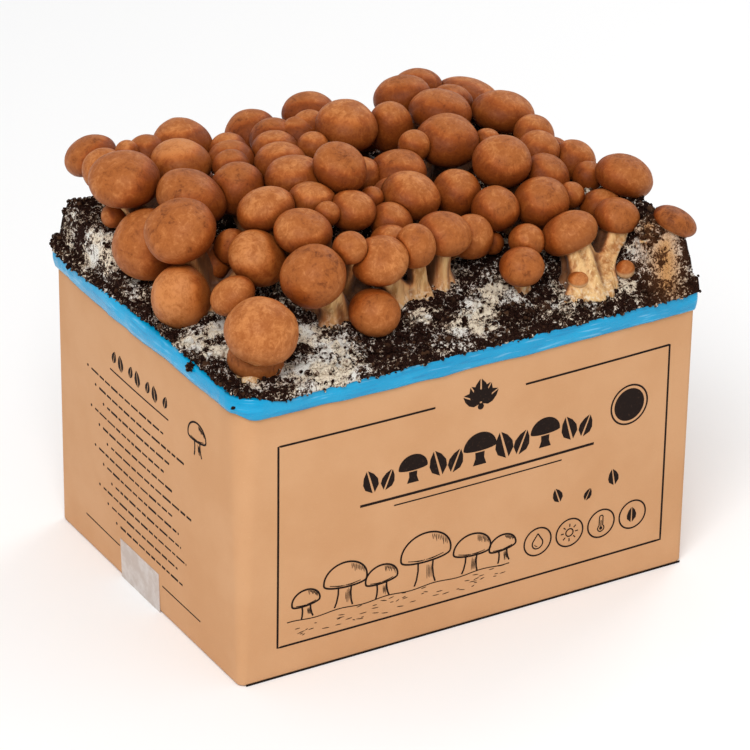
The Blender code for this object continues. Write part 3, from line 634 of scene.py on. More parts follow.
def on_surface(toward, height):
    """The point of a sight line that lies on the surface with the given height above the rim."""
    low, high = (RIM + level for level in CANOPY_SEARCH)
    for _ in range(CANOPY_HALVINGS):
        level = (low + high) / 2
        point = EYE - toward * (EYE[2] - level) / toward[2]
        if level - RIM < height(point[0], point[1]):
            low = level
        else:
            high = level
    return point


def on_soil(toward):
    return on_surface(toward, lambda x, y: soil_height(x, y) - RIM)


def on_collar(toward):
    """The point of a sight line that lies on the outside of the liner's collar."""
    stand = COLLAR_FOOT + FILM + BULGE / 2
    reach = (EYE[1] + BOX_DEPTH / 2 + stand) / toward[1]
    point = EYE - toward * reach
    if point[0] < -BOX_WIDTH / 2:
        reach = (EYE[0] + BOX_WIDTH / 2 + stand) / toward[0]
        point = EYE - toward * reach
    return point


def cap_axis(cap, toward):
    """Direction from stem to crown, and height over breadth, that give the seen outline."""
    seen = cap.seen
    wanted = math.sqrt(max(seen**2 - FACING_LIMIT, 0) / (1 - FACING_LIMIT))
    flatness = min(CAP_FLATNESS, seen - FLATTER)
    if seen > ROUND_SEEN:
        flatness = max(CAP_FLATNESS, wanted)
    facing = math.sqrt(FACING_LIMIT)
    if abs(1 - flatness) > FLATTER / 2:
        facing = math.sqrt((seen**2 - flatness**2) / (1 - flatness**2))
    turn = math.radians(cap.tilt)
    across = RIGHT * math.sin(turn) + UP * math.cos(turn)
    across = unit(across - toward * (across @ toward))
    return toward * facing + across * math.sqrt(1 - facing**2), flatness


class Mushroom(NamedTuple):
    name: str
    centre: np.ndarray
    axis: np.ndarray
    radius: float
    flatness: float
    cluster: str
    own: bool


def cluster_of(name, centre):
    """The nearest cluster, or none for a mushroom that stands apart."""
    if name in ALONE:
        return ""
    return min(CLUSTERS, key=lambda key: math.dist(CLUSTERS[key], centre[:2]))


def mushroom_at(name, centre, axis, width, flatness, own=False):
    cluster = cluster_of(name, centre)
    return Mushroom(name, centre, axis, width * MM / 2, flatness, cluster, own)


def placed_mushrooms():
    """Caps slid along their sight lines until they no longer run into each other."""
    rows = CAPS + SMALL_CAPS
    toward = np.array([sight(row.px, row.py) for row in rows])
    home = np.array([on_surface(line, canopy) for line in toward])
    home += toward * np.array([[row.forward * MM] for row in rows])
    axes, flat = zip(*(cap_axis(row, line) for row, line in zip(rows, toward)))
    axes, flat = np.array(axes), np.array(flat)
    radius = np.array([row.width * MM / 2 for row in rows])
    order = sorted(range(len(rows)), key=lambda i: home[i] @ BACK, reverse=True)
    rank = np.empty(len(rows))
    rank[order] = range(len(rows))
    first, second = np.triu_indices(len(rows), 1)
    listed = (first < len(CAPS)) & (second < len(CAPS))
    swap = ~listed & (rank[first] > rank[second])
    first, second = np.where(swap, second, first), np.where(swap, first, second)
    slide = np.zeros(len(rows))
    for _ in range(REST_ROUNDS):
        centre = home + toward * slide[:, None]
        apart = centre[second] - centre[first]
        length = np.linalg.norm(apart, axis=1)
        along = apart / length[:, None]
        reach = 0
        for side in (first, second):
            lean = np.einsum("ij,ij->i", along, axes[side])
            reach = reach + radius[side] / np.sqrt(1 - lean**2 + (lean / flat[side]) ** 2)
        overlap = reach - length
        facing = np.maximum(np.abs(along @ BACK), LEAST_FACING)
        push = np.where(overlap > TOUCH, YIELD * np.minimum(overlap, MOST_YIELD) * facing, 0)
        step = -RETURN * slide
        np.add.at(step, first, push)
        np.add.at(step, second, -push)
        slide += np.clip(step, -MOST_STEP, MOST_STEP)
    centre = home + toward * slide[:, None]
    found = []
    for i, row in enumerate(rows):
        aside, forward = NUDGES.get(row.name, (0, 0))
        centre[i] += RIGHT * (aside * MM) + toward[i] * (forward * MM)
        own = i < len(CAPS)
        found.append(mushroom_at(row.name, centre[i], axes[i], row.width, flat[i], own))
    return found


def rear_mushrooms():
    found = []
    for name, x, y, level, width, lean_x, lean_y in REAR_CAPS:
        centre = np.array((x * MM, y * MM, RIM + level * MM))
        axis = unit(np.array((lean_x, lean_y, 1)))
        found.append(mushroom_at(name, centre, axis, width, CAP_FLATNESS))
    return found


def hidden_mushrooms():
    """Caps seen in the gaps between others, some way behind them."""
    found = []
    for name, px, py, width, behind in HIDDEN_CAPS:
        toward = sight(px, py)
        centre = on_surface(toward, canopy) - toward * (behind * MM)
        axis = unit(toward + (0, 0, HIDDEN_UPRIGHT))
        found.append(mushroom_at(name, centre, axis, width, HIDDEN_FLATNESS))
    return found


def frame_across(axis):
    """Two unit vectors square to an axis."""
    side = unit(np.cross(axis, SIDEWAYS))
    return side, np.cross(axis, side)


# Finishes


class Graph:
    """A material and short calls for the nodes that the finishes share."""

    def __init__(self, name, **settings):
        self.material = bpy.data.materials.new(name)
        self.material.use_nodes = True
        self.tree = self.material.node_tree
        self.shader = self.tree.nodes["Principled BSDF"]
        for key, value in settings.items():
            self.shader.inputs[key.replace("_", " ")].default_value = value

    def node(self, kind, inputs, **settings):
        made = self.tree.nodes.new(kind)
        for key, value in settings.items():
            setattr(made, key, value)
        for key, value in inputs.items():
            if isinstance(value, bpy.types.NodeSocket):
                self.tree.links.new(value, made.inputs[key])
            else:
                made.inputs[key].default_value = value
        return made

    def done(self, **sockets):
        for key, socket in sockets.items():
            self.tree.links.new(socket, self.shader.inputs[key.replace("_", " ")])
        return self.material

    def place(self, stretch=(1, 1, 1)):
        """The place on the object in metres, squeezed along each axis by the given factors."""
        here = self.node("ShaderNodeTexCoord", {}).outputs["Object"]
        return self.node("ShaderNodeMapping", {"Vector": here, "Scale": stretch}).outputs[0]

    def attribute(self, name, output="Fac"):
        return self.node("ShaderNodeAttribute", {}, attribute_name=name).outputs[output]

    def noise(self, where, size, detail=4, roughness=0.55, distortion=0):
        inputs = {"Vector": where, "Scale": 1 / size, "Detail": detail}
        inputs |= {"Roughness": roughness, "Distortion": distortion}
        return self.node("ShaderNodeTexNoise", inputs).outputs[0]

    def band(self, value, low, high, to_low=0.0, to_high=1.0):
        inputs = {0: value, 1: low, 2: high, 3: to_low, 4: to_high}
        made = self.node("ShaderNodeMapRange", inputs, interpolation_type="SMOOTHSTEP")
        return made.outputs[0]

    def sum(self, a, b, operation="ADD"):
        return self.node("ShaderNodeMath", {0: a, 1: b}, operation=operation).outputs[0]

    def times(self, a, b):
        return self.sum(a, b, "MULTIPLY")

    def total(self, *parts):
        """Values added up, each with its weight."""
        weighed = [self.times(value, weight) for value, weight in parts]
        return functools.reduce(self.sum, weighed)

    def mix(self, factor, a, b, blend="MIX"):
        a, b = ((*each, 1) if isinstance(each, tuple) else each for each in (a, b))
        inputs = {0: factor, 6: a, 7: b}
        return self.node("ShaderNodeMix", inputs, data_type="RGBA", blend_type=blend).outputs[2]

    def layers(self, colour, *rows):
        """Colours laid over each other, each with how much it covers and how it blends."""
        for factor, tint, *blend in rows:
            colour = self.mix(factor, colour, tint, *blend)
        return colour

    def bump(self, height, distance, strength=1.0, normal=None):
        inputs = {"Height": height, "Distance": distance, "Strength": strength}
        if normal:
            inputs["Normal"] = normal
        return self.node("ShaderNodeBump", inputs).outputs[0]


def cap_finish():
    """Brown skin: soft mottling, faint fibrils down from the crown, dark specks and stains, darker
    towards the rim, and painted shade where other caps crowd it and on its low side.
    """
    made = Graph("cap_skin", Specular_IOR_Level=0.14)
    here = made.place()
    blotch = made.noise(here, 13 * MM, 4, 0.6, 0.4)
    mottle = made.noise(here, 4.6 * MM, 6, 0.68, 0.8)
    fine = made.noise(here, 1.3 * MM, 4, 0.65)
    streak = made.noise(made.attribute("grain", "Vector"), 0.05, 4, 0.6, 0.3)
    stain = made.band(made.noise(here, 3.1 * MM, 5, 0.75, 1.2), 0.62, 0.72)
    stain = made.times(stain, made.band(blotch, 0.62, 0.40))
    speck = made.band(made.noise(here, 0.95 * MM, 2, 0.5), 0.71, 0.76)
    speck = made.times(speck, made.band(mottle, 0.62, 0.45))
    tone, hidden = made.attribute("tone"), made.attribute("shade")
    level = made.total((blotch, 0.8), (mottle, 1.3), (streak, 0.3), (fine, 0.45), (tone, 1))
    dark, mid, pale = (0.155, 0.036, 0.0064), (0.37, 0.108, 0.0235), (0.58, 0.217, 0.065)
    colour = made.layers(
        dark,
        (made.band(level, 0.92, 1.38), mid),
        (made.band(level, 1.34, 1.86), pale),
        (made.times(stain, 0.35), (0.13, 0.036, 0.011)),
        (made.times(speck, 0.7), (0.07, 0.02, 0.008)),
        (made.times(made.attribute("rim"), 0.45), (0.20, 0.060, 0.017)),
        # Painted shade, warmer and deeper where other caps crowd the skin and on its low side
        (made.band(hidden, 0.20, 0.80), (1.0, 0.73, 0.44), "MULTIPLY"),
        # Painted shade, darkest where other caps crowd the skin closest
        (made.band(hidden, 0.38, 1.0, 0, 0.5), (0.055, 0.011, 0.002)),
        (made.attribute("under"), made.mix(fine, (0.50, 0.27, 0.12), (0.66, 0.42, 0.22))),
    )
    soft = made.bump(made.sum(blotch, mottle), 0.9 * MM, 0.5)
    relief = made.bump(made.sum(fine, streak), 0.14 * MM, 0.7, soft)
    roughness = made.band(mottle, 0.3, 0.7, 0.56, 0.40)
    return made.done(Base_Color=colour, Roughness=roughness, Normal=relief)


def stem_finish():
    """Golden cream flesh with fibres along the stem, white at the foot, and painted shade: brown in the
    dips between flutes and stems, dark beneath the caps.
    """
    made = Graph("stem_flesh", Roughness=0.55, Specular_IOR_Level=0.35, Sheen_Weight=0.08)
    along = made.place((1, 1, 0.16))
    fibre = made.noise(along, 1.5 * MM, 5, 0.62, 0.4)
    streak = made.noise(along, 4.5 * MM, 3, 0.6, 0.3)
    fuzz = made.band(made.noise(made.place(), 2.2 * MM, 4, 0.6), 0.45, 0.65)
    hidden = made.attribute("shade")
    colour = made.layers(
        (0.44, 0.195, 0.050),
        (made.band(streak, 0.33, 0.62), (0.79, 0.49, 0.205)),
        (made.band(fibre, 0.5, 0.78), (0.90, 0.68, 0.37)),
        # Painted shade, brown in the dips between flutes and stems
        (made.attribute("hollow"), (0.21, 0.078, 0.018)),
        (made.times(made.attribute("foot"), fuzz), (0.84, 0.70, 0.50)),
        # Painted shade beneath the caps, first warmer and deeper
        (made.band(hidden, 0.10, 0.75), (0.82, 0.52, 0.36), "MULTIPLY"),
        # Painted shade, darkest right beneath the caps
        (made.band(hidden, 0.45, 1.0, 0, 0.85), (0.075, 0.024, 0.006)),
    )
    soft = made.bump(streak, 1.2 * MM, 0.8)
    return made.done(Base_Color=colour, Normal=made.bump(fibre, 0.5 * MM, 0.9, soft))


def peat_finish():
    """Near-black crumbly peat, webbed white and cream where the mycelium grows."""
    made = Graph("peat", Roughness=0.88, Specular_IOR_Level=0.05)
    here = made.place()
    coarse = made.noise(here, 8 * MM, 3, 0.6, 0.5)
    fine = made.noise(here, 2.6 * MM, 6, 0.75, 0.8)
    speck = made.noise(here, 0.9 * MM, 4, 0.7, 0.4)
    grit = made.noise(here, 0.55 * MM, 3, 0.6)
    cream = made.noise(here, 15 * MM, 2)
    rust = made.attribute("rust")
    dark = made.layers(
        (0.005, 0.0019, 0.0013),
        (made.band(grit, 0.38, 0.70), (0.055, 0.021, 0.0135)),
        (made.band(made.attribute("tone"), 0.72, 1.0, 0, 0.8), (0.095, 0.046, 0.024)),
        (made.times(rust, 0.5), (0.16, 0.060, 0.020)),
    )
    thin = (0.34, 0.19, 0.11)
    level = made.total((fine, 0.60), (speck, 0.14), (coarse, 0.26), (made.attribute("growth"), 0.20))
    white = made.layers(
        (0.98, 0.95, 0.88),
        (made.band(cream, 0.42, 0.56), (0.98, 0.86, 0.68)),
        (made.band(speck, 0.47, 0.36, 0, 0.7), thin),
        (made.band(level, 0.598, 0.552), thin),
        (rust, (0.72, 0.42, 0.20), "MULTIPLY"),
    )
    colour = made.mix(made.band(level, 0.548, 0.566), dark, white)
    soft = made.bump(fine, 1.6 * MM, 0.8)
    relief = made.bump(made.sum(grit, speck), 0.7 * MM, 0.9, soft)
    return made.done(Base_Color=colour, Normal=relief)


def thread_finish():
    made = Graph("mycelium", Roughness=0.85, Sheen_Weight=0.3)
    tint = made.noise(made.place(), 6 * MM)
    return made.done(Base_Color=made.mix(tint, (0.80, 0.70, 0.52), (0.88, 0.86, 0.82)))


def film_finish():
    """Glossy blue film with faint hazy patches, and streaks along it painted as reflections, light and
    dark.
    """
    made = Graph("blue_film", Specular_IOR_Level=0.30, Coat_Weight=0.10, Coat_Roughness=0.12)
    here = made.place((1, 1, 3))
    patch = made.noise(here, 40 * MM, 3)
    haze = made.noise(here, 9 * MM, 4, 0.6)
    streak = made.noise(made.place((0.16, 0.16, 1.5)), 4 * MM, 3, 0.5)
    colour = made.layers(
        (0.0, 0.29, 0.545),
        (made.band(patch, 0.35, 0.68), (0.0, 0.355, 0.64)),
        (made.band(haze, 0.64, 0.8, 0, 0.2), (0.22, 0.50, 0.76)),
        # Painted highlights: light streaks along the film
        (made.band(streak, 0.57, 0.72, 0, 0.45), (0.30, 0.62, 0.86)),
        # Painted reflection: darker streaks along the film
        (made.band(streak, 0.46, 0.32, 0, 0.45), (0.0, 0.19, 0.42)),
    )
    roughness = made.band(haze, 0.3, 0.7, 0.16, 0.34)
    return made.done(Base_Color=colour, Roughness=roughness, Normal=made.bump(haze, 0.5 * MM, 0.35))


def kraft_finish():
    """Smooth kraft board with fine fibres and faint clouds."""
    made = Graph("kraft_board", Specular_IOR_Level=0.28)
    here = made.place()
    fibre = made.noise(made.place((1, 1, 2.6)), 1.1 * MM, 4, 0.7, 0.8)
    grain = made.noise(here, 0.5 * MM, 2, 0.6)
    cloud = made.noise(here, 45 * MM, 3)
    colour = made.layers(
        (0.59, 0.305, 0.142),
        (made.band(cloud, 0.3, 0.7), (0.63, 0.338, 0.165)),
        (made.band(fibre, 0.58, 0.74, 0, 0.35), (0.45, 0.225, 0.10)),
        (made.band(fibre, 0.42, 0.28, 0, 0.3), (0.74, 0.47, 0.28)),
    )
    roughness = made.band(cloud, 0.3, 0.7, 0.76, 0.66)
    relief = made.bump(made.sum(fibre, grain), 0.05 * MM, 0.6)
    return made.done(Base_Color=colour, Roughness=roughness, Normal=relief)


# Ink for the print, also used for the painted shadow line along the foot of the front face
def ink_finish():
    made = Graph("ink", Roughness=0.7, Specular_IOR_Level=0.1)
    worn = made.band(made.noise(made.place(), 1.4 * MM, 4, 0.65), 0.58, 0.78)
    return made.done(Base_Color=made.mix(worn, (0.014, 0.007, 0.005), (0.07, 0.036, 0.022)))


def tape_finish():
    """Clear tape that looks whitish over the board."""
    made = Graph("clear_tape", Roughness=0.3, Alpha=0.72, Specular_IOR_Level=0.5)
    cloud = made.noise(made.place(), 7 * MM, 4, 0.6)
    colour = made.mix(made.band(cloud, 0.35, 0.7), (0.66, 0.56, 0.50), (0.80, 0.73, 0.69))
    return made.done(Base_Color=colour, Normal=made.bump(cloud, 0.25 * MM, 0.4))


def floor_finish():
    made = Graph("pale_floor", Roughness=0.9, Specular_IOR_Level=0.1)
    cloud = made.noise(made.place(), 0.5)
    return made.done(Base_Color=made.mix(cloud, (0.955, 0.955, 0.955), (0.965, 0.965, 0.965)))


# Camera, light and floor


def make_camera():
    camera = linked("camera", bpy.data.cameras.new("camera"))
    camera.data.sensor_width = SENSOR
    camera.data.lens = VIEW_FOCAL / FRAME_SIZE * SENSOR
    camera.data.shift_x = (FRAME_SIZE / 2 - VIEW_CENTRE[0]) / FRAME_SIZE
    camera.data.shift_y = (VIEW_CENTRE[1] - FRAME_SIZE / 2) / FRAME_SIZE
    camera.data.clip_end = CLIP_END
    placed = np.eye(4)
    placed[:3, 0], placed[:3, 1], placed[:3, 2], placed[:3, 3] = RIGHT, UP, BACK, EYE
    camera.matrix_world = placed.T
    bpy.context.scene.camera = camera


def make_lights():
    world = bpy.data.worlds.new("studio")
    bpy.context.scene.world = world
    world.use_nodes = True
    sky = world.node_tree.nodes["Background"].inputs
    sky["Color"].default_value = (1, 1, 1, 1)
    sky["Strength"].default_value = SKY
    bpy.context.scene.view_settings.view_transform = "Standard"
    for name, direction, size, power in LIGHTS:
        light = linked(name, bpy.data.lights.new(name, "AREA"))
        light.data.size = size
        light.data.energy = power
        away = unit(np.array(direction))
        light.location = VIEW_TARGET + away * LIGHT_DISTANCE
        side = unit(np.cross((0, 0, 1), away))
        turned = np.column_stack((side, np.cross(away, side), away))
        light.rotation_euler = Matrix(turned.tolist()).to_euler()


def make_floor():
    corners = [(x * FLOOR_HALF, y * FLOOR_HALF, 0) for x, y in ((-1, -1), (1, -1), (1, 1), (-1, 1))]
    mesh = bpy.data.meshes.new("floor")
    mesh.from_pydata(corners, [], [(0, 1, 2, 3)])
    mesh.materials.append(floor_finish())
    floor = linked("floor", mesh)


# Carton, tape and liner


def closed_tube(name, rings, finish):
    points, faces = joined([rings])
    return add_mesh(name, points, [faces], finish)


def make_carton():
    levels = [
        (FOOT_ROUND * (1 - math.cos(turn)), UNDER_LIFT + FOOT_ROUND * (1 - math.sin(turn)))
        for turn in np.radians((90, 60, 30, 0))
    ]
    inward, down = EDGE_WORN
    levels += [(0, z) for z in np.linspace(WALL_FOOT, BOX_HEIGHT - down, WALL_RINGS)]
    levels.append((inward, BOX_HEIGHT))
    levels += [(BOARD, z) for z in (BOX_HEIGHT, INSIDE_LEVEL, FLOOR_BOARD)]
    made = closed_tube("carton_board", [ring(*level) for level in levels], kraft_finish())
    made.data.set_sharp_from_angle(angle=math.radians(SHARP_ANGLE))
    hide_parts("carton")


def dress(node, finish):
    """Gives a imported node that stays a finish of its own."""
    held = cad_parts[node]
    held.data.materials.clear()
    held.data.materials.append(finish)


def liner_levels():
    """Inset and height from the bag's floor up its outside, round the hem, over the rim, down."""
    leg = BOARD + GAP
    inner = leg + FILM
    bend = LINER_TOP - FOLD_RISE
    below = LINER_TOP - 2 * MM
    levels = [(leg, z) for z in (FLOOR_BOARD + GAP, *BAG_LEVELS, BAG_HIGH, below)]
    levels.append((BOARD / 2, LINER_TOP - FOLD_FILM * 2))
    levels += [(HEM + FOLD_FILM, z) for z in (below, COLLAR_MIDDLE, COLLAR_LOW)]
    for z in np.linspace(COLLAR_LOW, bend - 0.6 * MM, HEM_RINGS):
        swell = math.sin(math.pi * (z - COLLAR_LOW) / (LINER_TOP - COLLAR_LOW))
        levels.append((HEM - (COLLAR_STAND - COLLAR_FOOT) * swell, z))
    middle, half = (inner + HEM) / 2, (inner - HEM) / 2
    for turn in np.radians(np.linspace(FOLD_START, 0, FOLD_RINGS)):
        rise = FOLD_RISE * math.sin(turn) ** FOLD_BEND
        levels.append((middle + half * math.cos(turn), bend + rise))
    levels += [(inner, z) for z in np.linspace(bend - 1.5 * MM, LOOSE_LEVEL, INSIDE_RINGS)]
    levels += [(inner, z) for z in (*BAG_LEVELS[::-1], FLOOR_BOARD + GAP + FILM)]
    return levels


def tucked(points):
    """Points drawn in toward the carton at its front right corner."""
    y = points[:, 1]
    side = BOX_WIDTH / 2 + bow(COLLAR_LOW, np.clip(y / BOX_DEPTH + 0.5, 0, 1))
    near = ease(TUCK_REACH, TUCK_REACH / 3, y + BOX_DEPTH / 2)
    moved = points.copy()
    moved[:, 0] -= np.maximum(points[:, 0] - side, 0) * near * TUCK
    return moved


def make_liner():
    """The film bag, creased along its collar, gathered at the corners, with a wavy hem."""
    rings = []
    for inset, z in liner_levels():
        points = ring(inset, z, **LINER_STEPS)
        flat = points * (1, 1, 0)
        x, y = points[:, 0].copy(), points[:, 1].copy()
        outward = np.zeros_like(points)
        outward[:, :2] = (outline(inset - MM, z, **LINER_STEPS) - points[:, :2]) / MM
        low = ease(LOOSE_LEVEL, COLLAR_LOW, z)
        hem = ease(COLLAR_MIDDLE, COLLAR_LOW, z)
        outside = ease(BOARD, 0, inset)
        crease = relief(points, FILM_CREASES)
        crease += np.clip(1 - np.abs(relief(points, FILM_FOLDS)), 0, 1) * SHARP_CREASE
        corner = np.abs(x) / BOX_WIDTH + np.abs(y) / BOX_DEPTH
        crease += np.abs(relief(points, FILM_PLEATS)) * ease(*PLEAT_BAND, corner)
        stand = crease * CREASE * low * (INSIDE_CREASE + (1 - INSIDE_CREASE) * outside)
        points = points + outward * stand[:, None]
        wave = relief(flat, HEM_WAVES)
        on_left = ease(BOX_WIDTH / 2 - 8 * MM, BOX_WIDTH / 2, -x)
        wave += on_left * ease(*HEM_LEFT_BAND, y) * HEM_LEFT
        wave -= ease(*HEM_FRONT_BAND, y) * ease(*HEM_ALONG_BAND, x)
        points[:, 2] += (wave * MM - HEM_DROP) * hem * outside
        points[:, 2] += relief(flat, RIM_WAVES) * MM * low * (1 - hem * outside)
        rings.append(tucked(points))
    made = closed_tube("liner_film", rings, film_finish())
    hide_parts("liner")


# The print: places on a face are its horizontal and its height, seen from outside


def on_face(side, places, lift):
    """Points over the bowed front or left face."""
    u, z = np.asarray(places, float).T
    half, across = BOX_WIDTH / 2, BOX_DEPTH / 2
    share = np.clip(z / BOX_HEIGHT, 0, 1)
    near, far = (CORNER_LOW + (high - CORNER_LOW) * share for high in (CORNER_WORN, CORNER_HIGH))
    if side == "left":
        half, across, near, far = across, half, far, near
    part = np.clip((u + half - near) / (2 * half - near - far), 0, 1)
    out = across + lift + np.array([bow(height, here) for height, here in zip(z, part)])
    return np.c_[u, -out, z] if side == "front" else np.c_[-out, -u, z]


class Print:
    """Strokes and filled shapes of ink that end up as one mesh on a face."""

    def __init__(self, side):
        self.side = side
        self.bodies = []

    def stroke(self, path, width, taper=False):
        """A line through places in millimetres; a tapered one is thin at its ends."""
        path = np.array(path, float)
        lengths = np.linalg.norm(np.diff(path, axis=0), axis=1)
        along = np.concatenate(([0], np.cumsum(lengths)))
        steps = max(int(along[-1] / STROKE_STEP), 3)
        at = np.unique(np.round(np.concatenate((np.linspace(0, along[-1], steps + 1), along)), 6))
        places = np.c_[np.interp(at, along, path[:, 0]), np.interp(at, along, path[:, 1])]
        slope = units(np.gradient(places, axis=0))
        half = np.full(len(places), width / 2)
        if taper:
            half *= 0.3 + 0.7 * np.sin(np.pi * at / along[-1])
        aside = np.c_[-slope[:, 1], slope[:, 0]] * half[:, None]
        corners = [
            on_face(self.side, (places + sign * aside) * MM, lift)
            for sign, lift in ((1, INK), (-1, INK), (-1, -INK_ROOT), (1, -INK_ROOT))
        ]
        self.bodies.append(np.stack(corners, axis=1))

    def fill(self, path):
        """A filled shape; its outline runs anticlockwise."""
        path = np.array(path) * MM
        self.bodies.append([on_face(self.side, path, lift) for lift in (-INK_ROOT, INK)])

    def piece(self, name, finish):
        points, faces = joined(self.bodies)
        made = add_mesh(name, points, [faces], finish, smooth=False)


def arc(x, z, breadth, height, first, last, count=24):
    """Places on part of an ellipse, angles in degrees from the right."""
    turns = np.radians(np.linspace(first, last, count))
    return np.c_[x + breadth * np.cos(turns), z + height * np.sin(turns)]


def placed(path, x, z, size=1.0, turn=0.0):
    """A path turned, scaled and moved."""
    c, s = math.cos(math.radians(turn)), math.sin(math.radians(turn))
    return np.array(path) @ np.array(((c, s), (-s, c))) * size + (x, z)


def ring_line(ink, x, z, radius, width):
    ink.stroke(arc(x, z, radius, radius, 0, 360, 49), width)


def drawn_mushroom(ink, x, z, size, turn, seed):
    """A line drawing of a mushroom that stands at x, z, a cap's breadth wide."""
    draw = np.random.default_rng(seed)
    at = {"x": x, "z": z, "size": size, "turn": turn}
    dome = arc(0, 0.62, 0.5, 0.42, -8, 188, 30)
    brim = arc(0, 0.56, 0.49, 0.11, 180, 360, 20)
    ink.stroke(placed(np.concatenate((dome, brim, dome[:1])), **at), 1.15)
    for sign in (-1, 1):
        ink.stroke(placed(np.array(STEM_SIDE) * (sign, 1), **at), 1.05)
    for share in np.linspace(-0.85, 0.85, 12):
        gill = [(share * 0.16, 0.49), (share * 0.42, 0.56 - 0.06 * (1 - share * share))]
        ink.stroke(placed(gill, **at), 0.4)
    for i in range(9):
        across = 0.12 + 0.036 * i
        top = 0.62 + 0.40 * math.sqrt(max(1 - (across / 0.5) ** 2, 0))
        low = top - draw.uniform(0.10, 0.22)
        ink.stroke(placed([(across, top - 0.02), (across + 0.02, low)], **at), 0.45, taper=True)
    for i in range(4):
        across = 0.03 + 0.028 * i
        line = [(across, draw.uniform(0.32, 0.42)), (across + 0.01, draw.uniform(0.03, 0.16))]
        ink.stroke(placed(line, **at), 0.4, taper=True)


def dark_mushroom(ink, x, z, size, turn=0.0):
    """A filled mushroom whose stem stands a little off its cap."""
    cap = np.concatenate((arc(0, 0.50, 0.5, 0.45, 0, 180, 22), arc(0, 0.50, 0.5, 0.09, 180, 350, 14)))
    for shape in (cap, DARK_STEM):
        ink.fill(placed(shape, x, z, size, turn))


def dark_leaf(ink, x, z, size, turn=0.0):
    """A filled leaf in two halves."""
    for sign in (-1, 1):
        half = np.array(LEAF_HALF) * (sign, 1)
        ink.fill(placed(half[::sign], x, z, size, turn))


def make_front_print(finish):
    ink = Print("front")
    ink.stroke(FRONT_FRAME, 1.25)
    for turn in SPRIG_TURNS:
        dark_leaf(ink, 4, 146, 13 if turn else 15, turn)
    ink.fill(arc(4, 143.5, 2, 2, 0, 345, 20))
    for i, size in enumerate(ROW_SIZES):
        x = -62 + 22 * i
        if i % 2:
            dark_mushroom(ink, x, ROW_LEVEL, size)
        else:
            dark_leaf(ink, x - 3.5, ROW_LEVEL, size, 16)
            dark_leaf(ink, x + 3.5, ROW_LEVEL, size * 0.86, -22)
    for start, end, level, width in ((-74, 82, 99, 1.6), (-52, 60, 94, 0.8)):
        ink.stroke([(start, level), (end, level)], width)
    for i, (x, size, turn) in enumerate(GROVE):
        drawn_mushroom(ink, x, 35 + i % 2, size, turn, 80 + i)
    draw = np.random.default_rng(90)
    for _ in range(GRASS):
        x, z = draw.uniform(-118, 26), draw.uniform(24, 34)
        tilt = draw.uniform(-1, 1)
        ink.stroke([(x, z), (x + draw.uniform(1.5, 5), z + tilt)], 0.5, taper=True)
    ground = [(x, 34.5 + 0.6 * math.sin(x / 5)) for x in range(-120, 30, 3)]
    ink.stroke(ground, 0.6)
    for i, x in enumerate(ICONS):
        ring_line(ink, x, ICON_LEVEL, 9.2, 1.0)
        draw_icon(ink, i, x, ICON_LEVEL)
    for leaf in LEAVES:
        dark_leaf(ink, *leaf)
    ink.fill(arc(*BADGE, BADGE_RADIUS, BADGE_RADIUS, 0, 352, 44))
    ring_line(ink, *BADGE, 12.6, 1.1)
    # Painted shadow line along the foot of the front face
    ink.stroke(FOOT_SHADOW_LINE, 1.3)
    ink.piece("print_front_and_foot_shadow", finish)


def draw_icon(ink, kind, x, z):
    """A plain line icon: drop, sun, thermometer or leaf."""
    if kind == 0:
        drop = np.concatenate(([(0, 5.4)], arc(0, -1.2, 3.6, 3.6, 150, 390, 24), [(0, 5.4)]))
        ink.stroke(drop + (x, z), 0.8)
        ink.stroke(arc(x, z - 1.2, 2, 2, 200, 270, 8), 0.5)
    elif kind == 1:
        ring_line(ink, x, z, 2.5, 0.8)
        for turn in range(0, 360, 45):
            ink.stroke(placed([(3.9, 0), (5.9, 0)], x, z, 1, turn), 0.7)
    elif kind == 2:
        bulb = arc(0, -3.2, 2.2, 2.2, 125, 415, 24)
        tip = arc(0, 4.2, 1.25, 1.25, 0, 180, 10)
        end = arc(0, -3.2, 2.2, 2.2, 125, 126, 2)
        ink.stroke(np.concatenate((bulb, tip, end)) + (x, z), 0.7)
        ink.fill(arc(x, z - 3.2, 1.1, 1.1, 0, 345, 16))
        ink.stroke([(x, z - 3), (x, z + 2)], 0.6)
    else:
        dark_leaf(ink, x - 0.5, z - 5, 10, 0)


def make_left_print(finish):
    ink = Print("left")
    for i in range(7):
        size, turn = (10, 14) if i % 2 else (8, -14)
        dark_leaf(ink, -36 + 10.5 * i, 141 - (i % 2) * 1.5, size, turn)
    ink.stroke([(-40, 135.5), (32, 135.5)], 0.9)
    drawn_mushroom(ink, 66, 128, 20, 6, 99)
    draw = np.random.default_rng(95)
    for row in range(RULES):
        z = 124 - RULE_STEP * row
        start = -70 + 9 * (row % 3) + 1.4 * row
        end = start + draw.uniform(78, 112)
        ink.fill(arc(start, z, 0.9, 0.9, 0, 340, 12))
        x = start + 5
        while x < end:
            length = draw.uniform(3, 10)
            ink.stroke([(x, z), (min(x + length, end), z)], draw.uniform(1.0, 1.5))
            x += length + RULE_GAP
    for start, end in ((-78, -34), (20, 66)):
        ink.stroke([(start, 20), (end, 20)], 0.8)
    ink.piece("print_left", finish)


# The casing


def marks_at(marks, x, y):
    """How strong seen marks are at places of the casing."""
    strong = np.zeros(len(x))
    for px, py, reach, strength in marks:
        at = on_soil(sight(px, py))
        far = np.hypot(x - at[0], y - at[1]) / (reach * PIXEL * SPREAD)
        strong = np.maximum(strong, strength * np.exp(-(far**2)))
    return strong


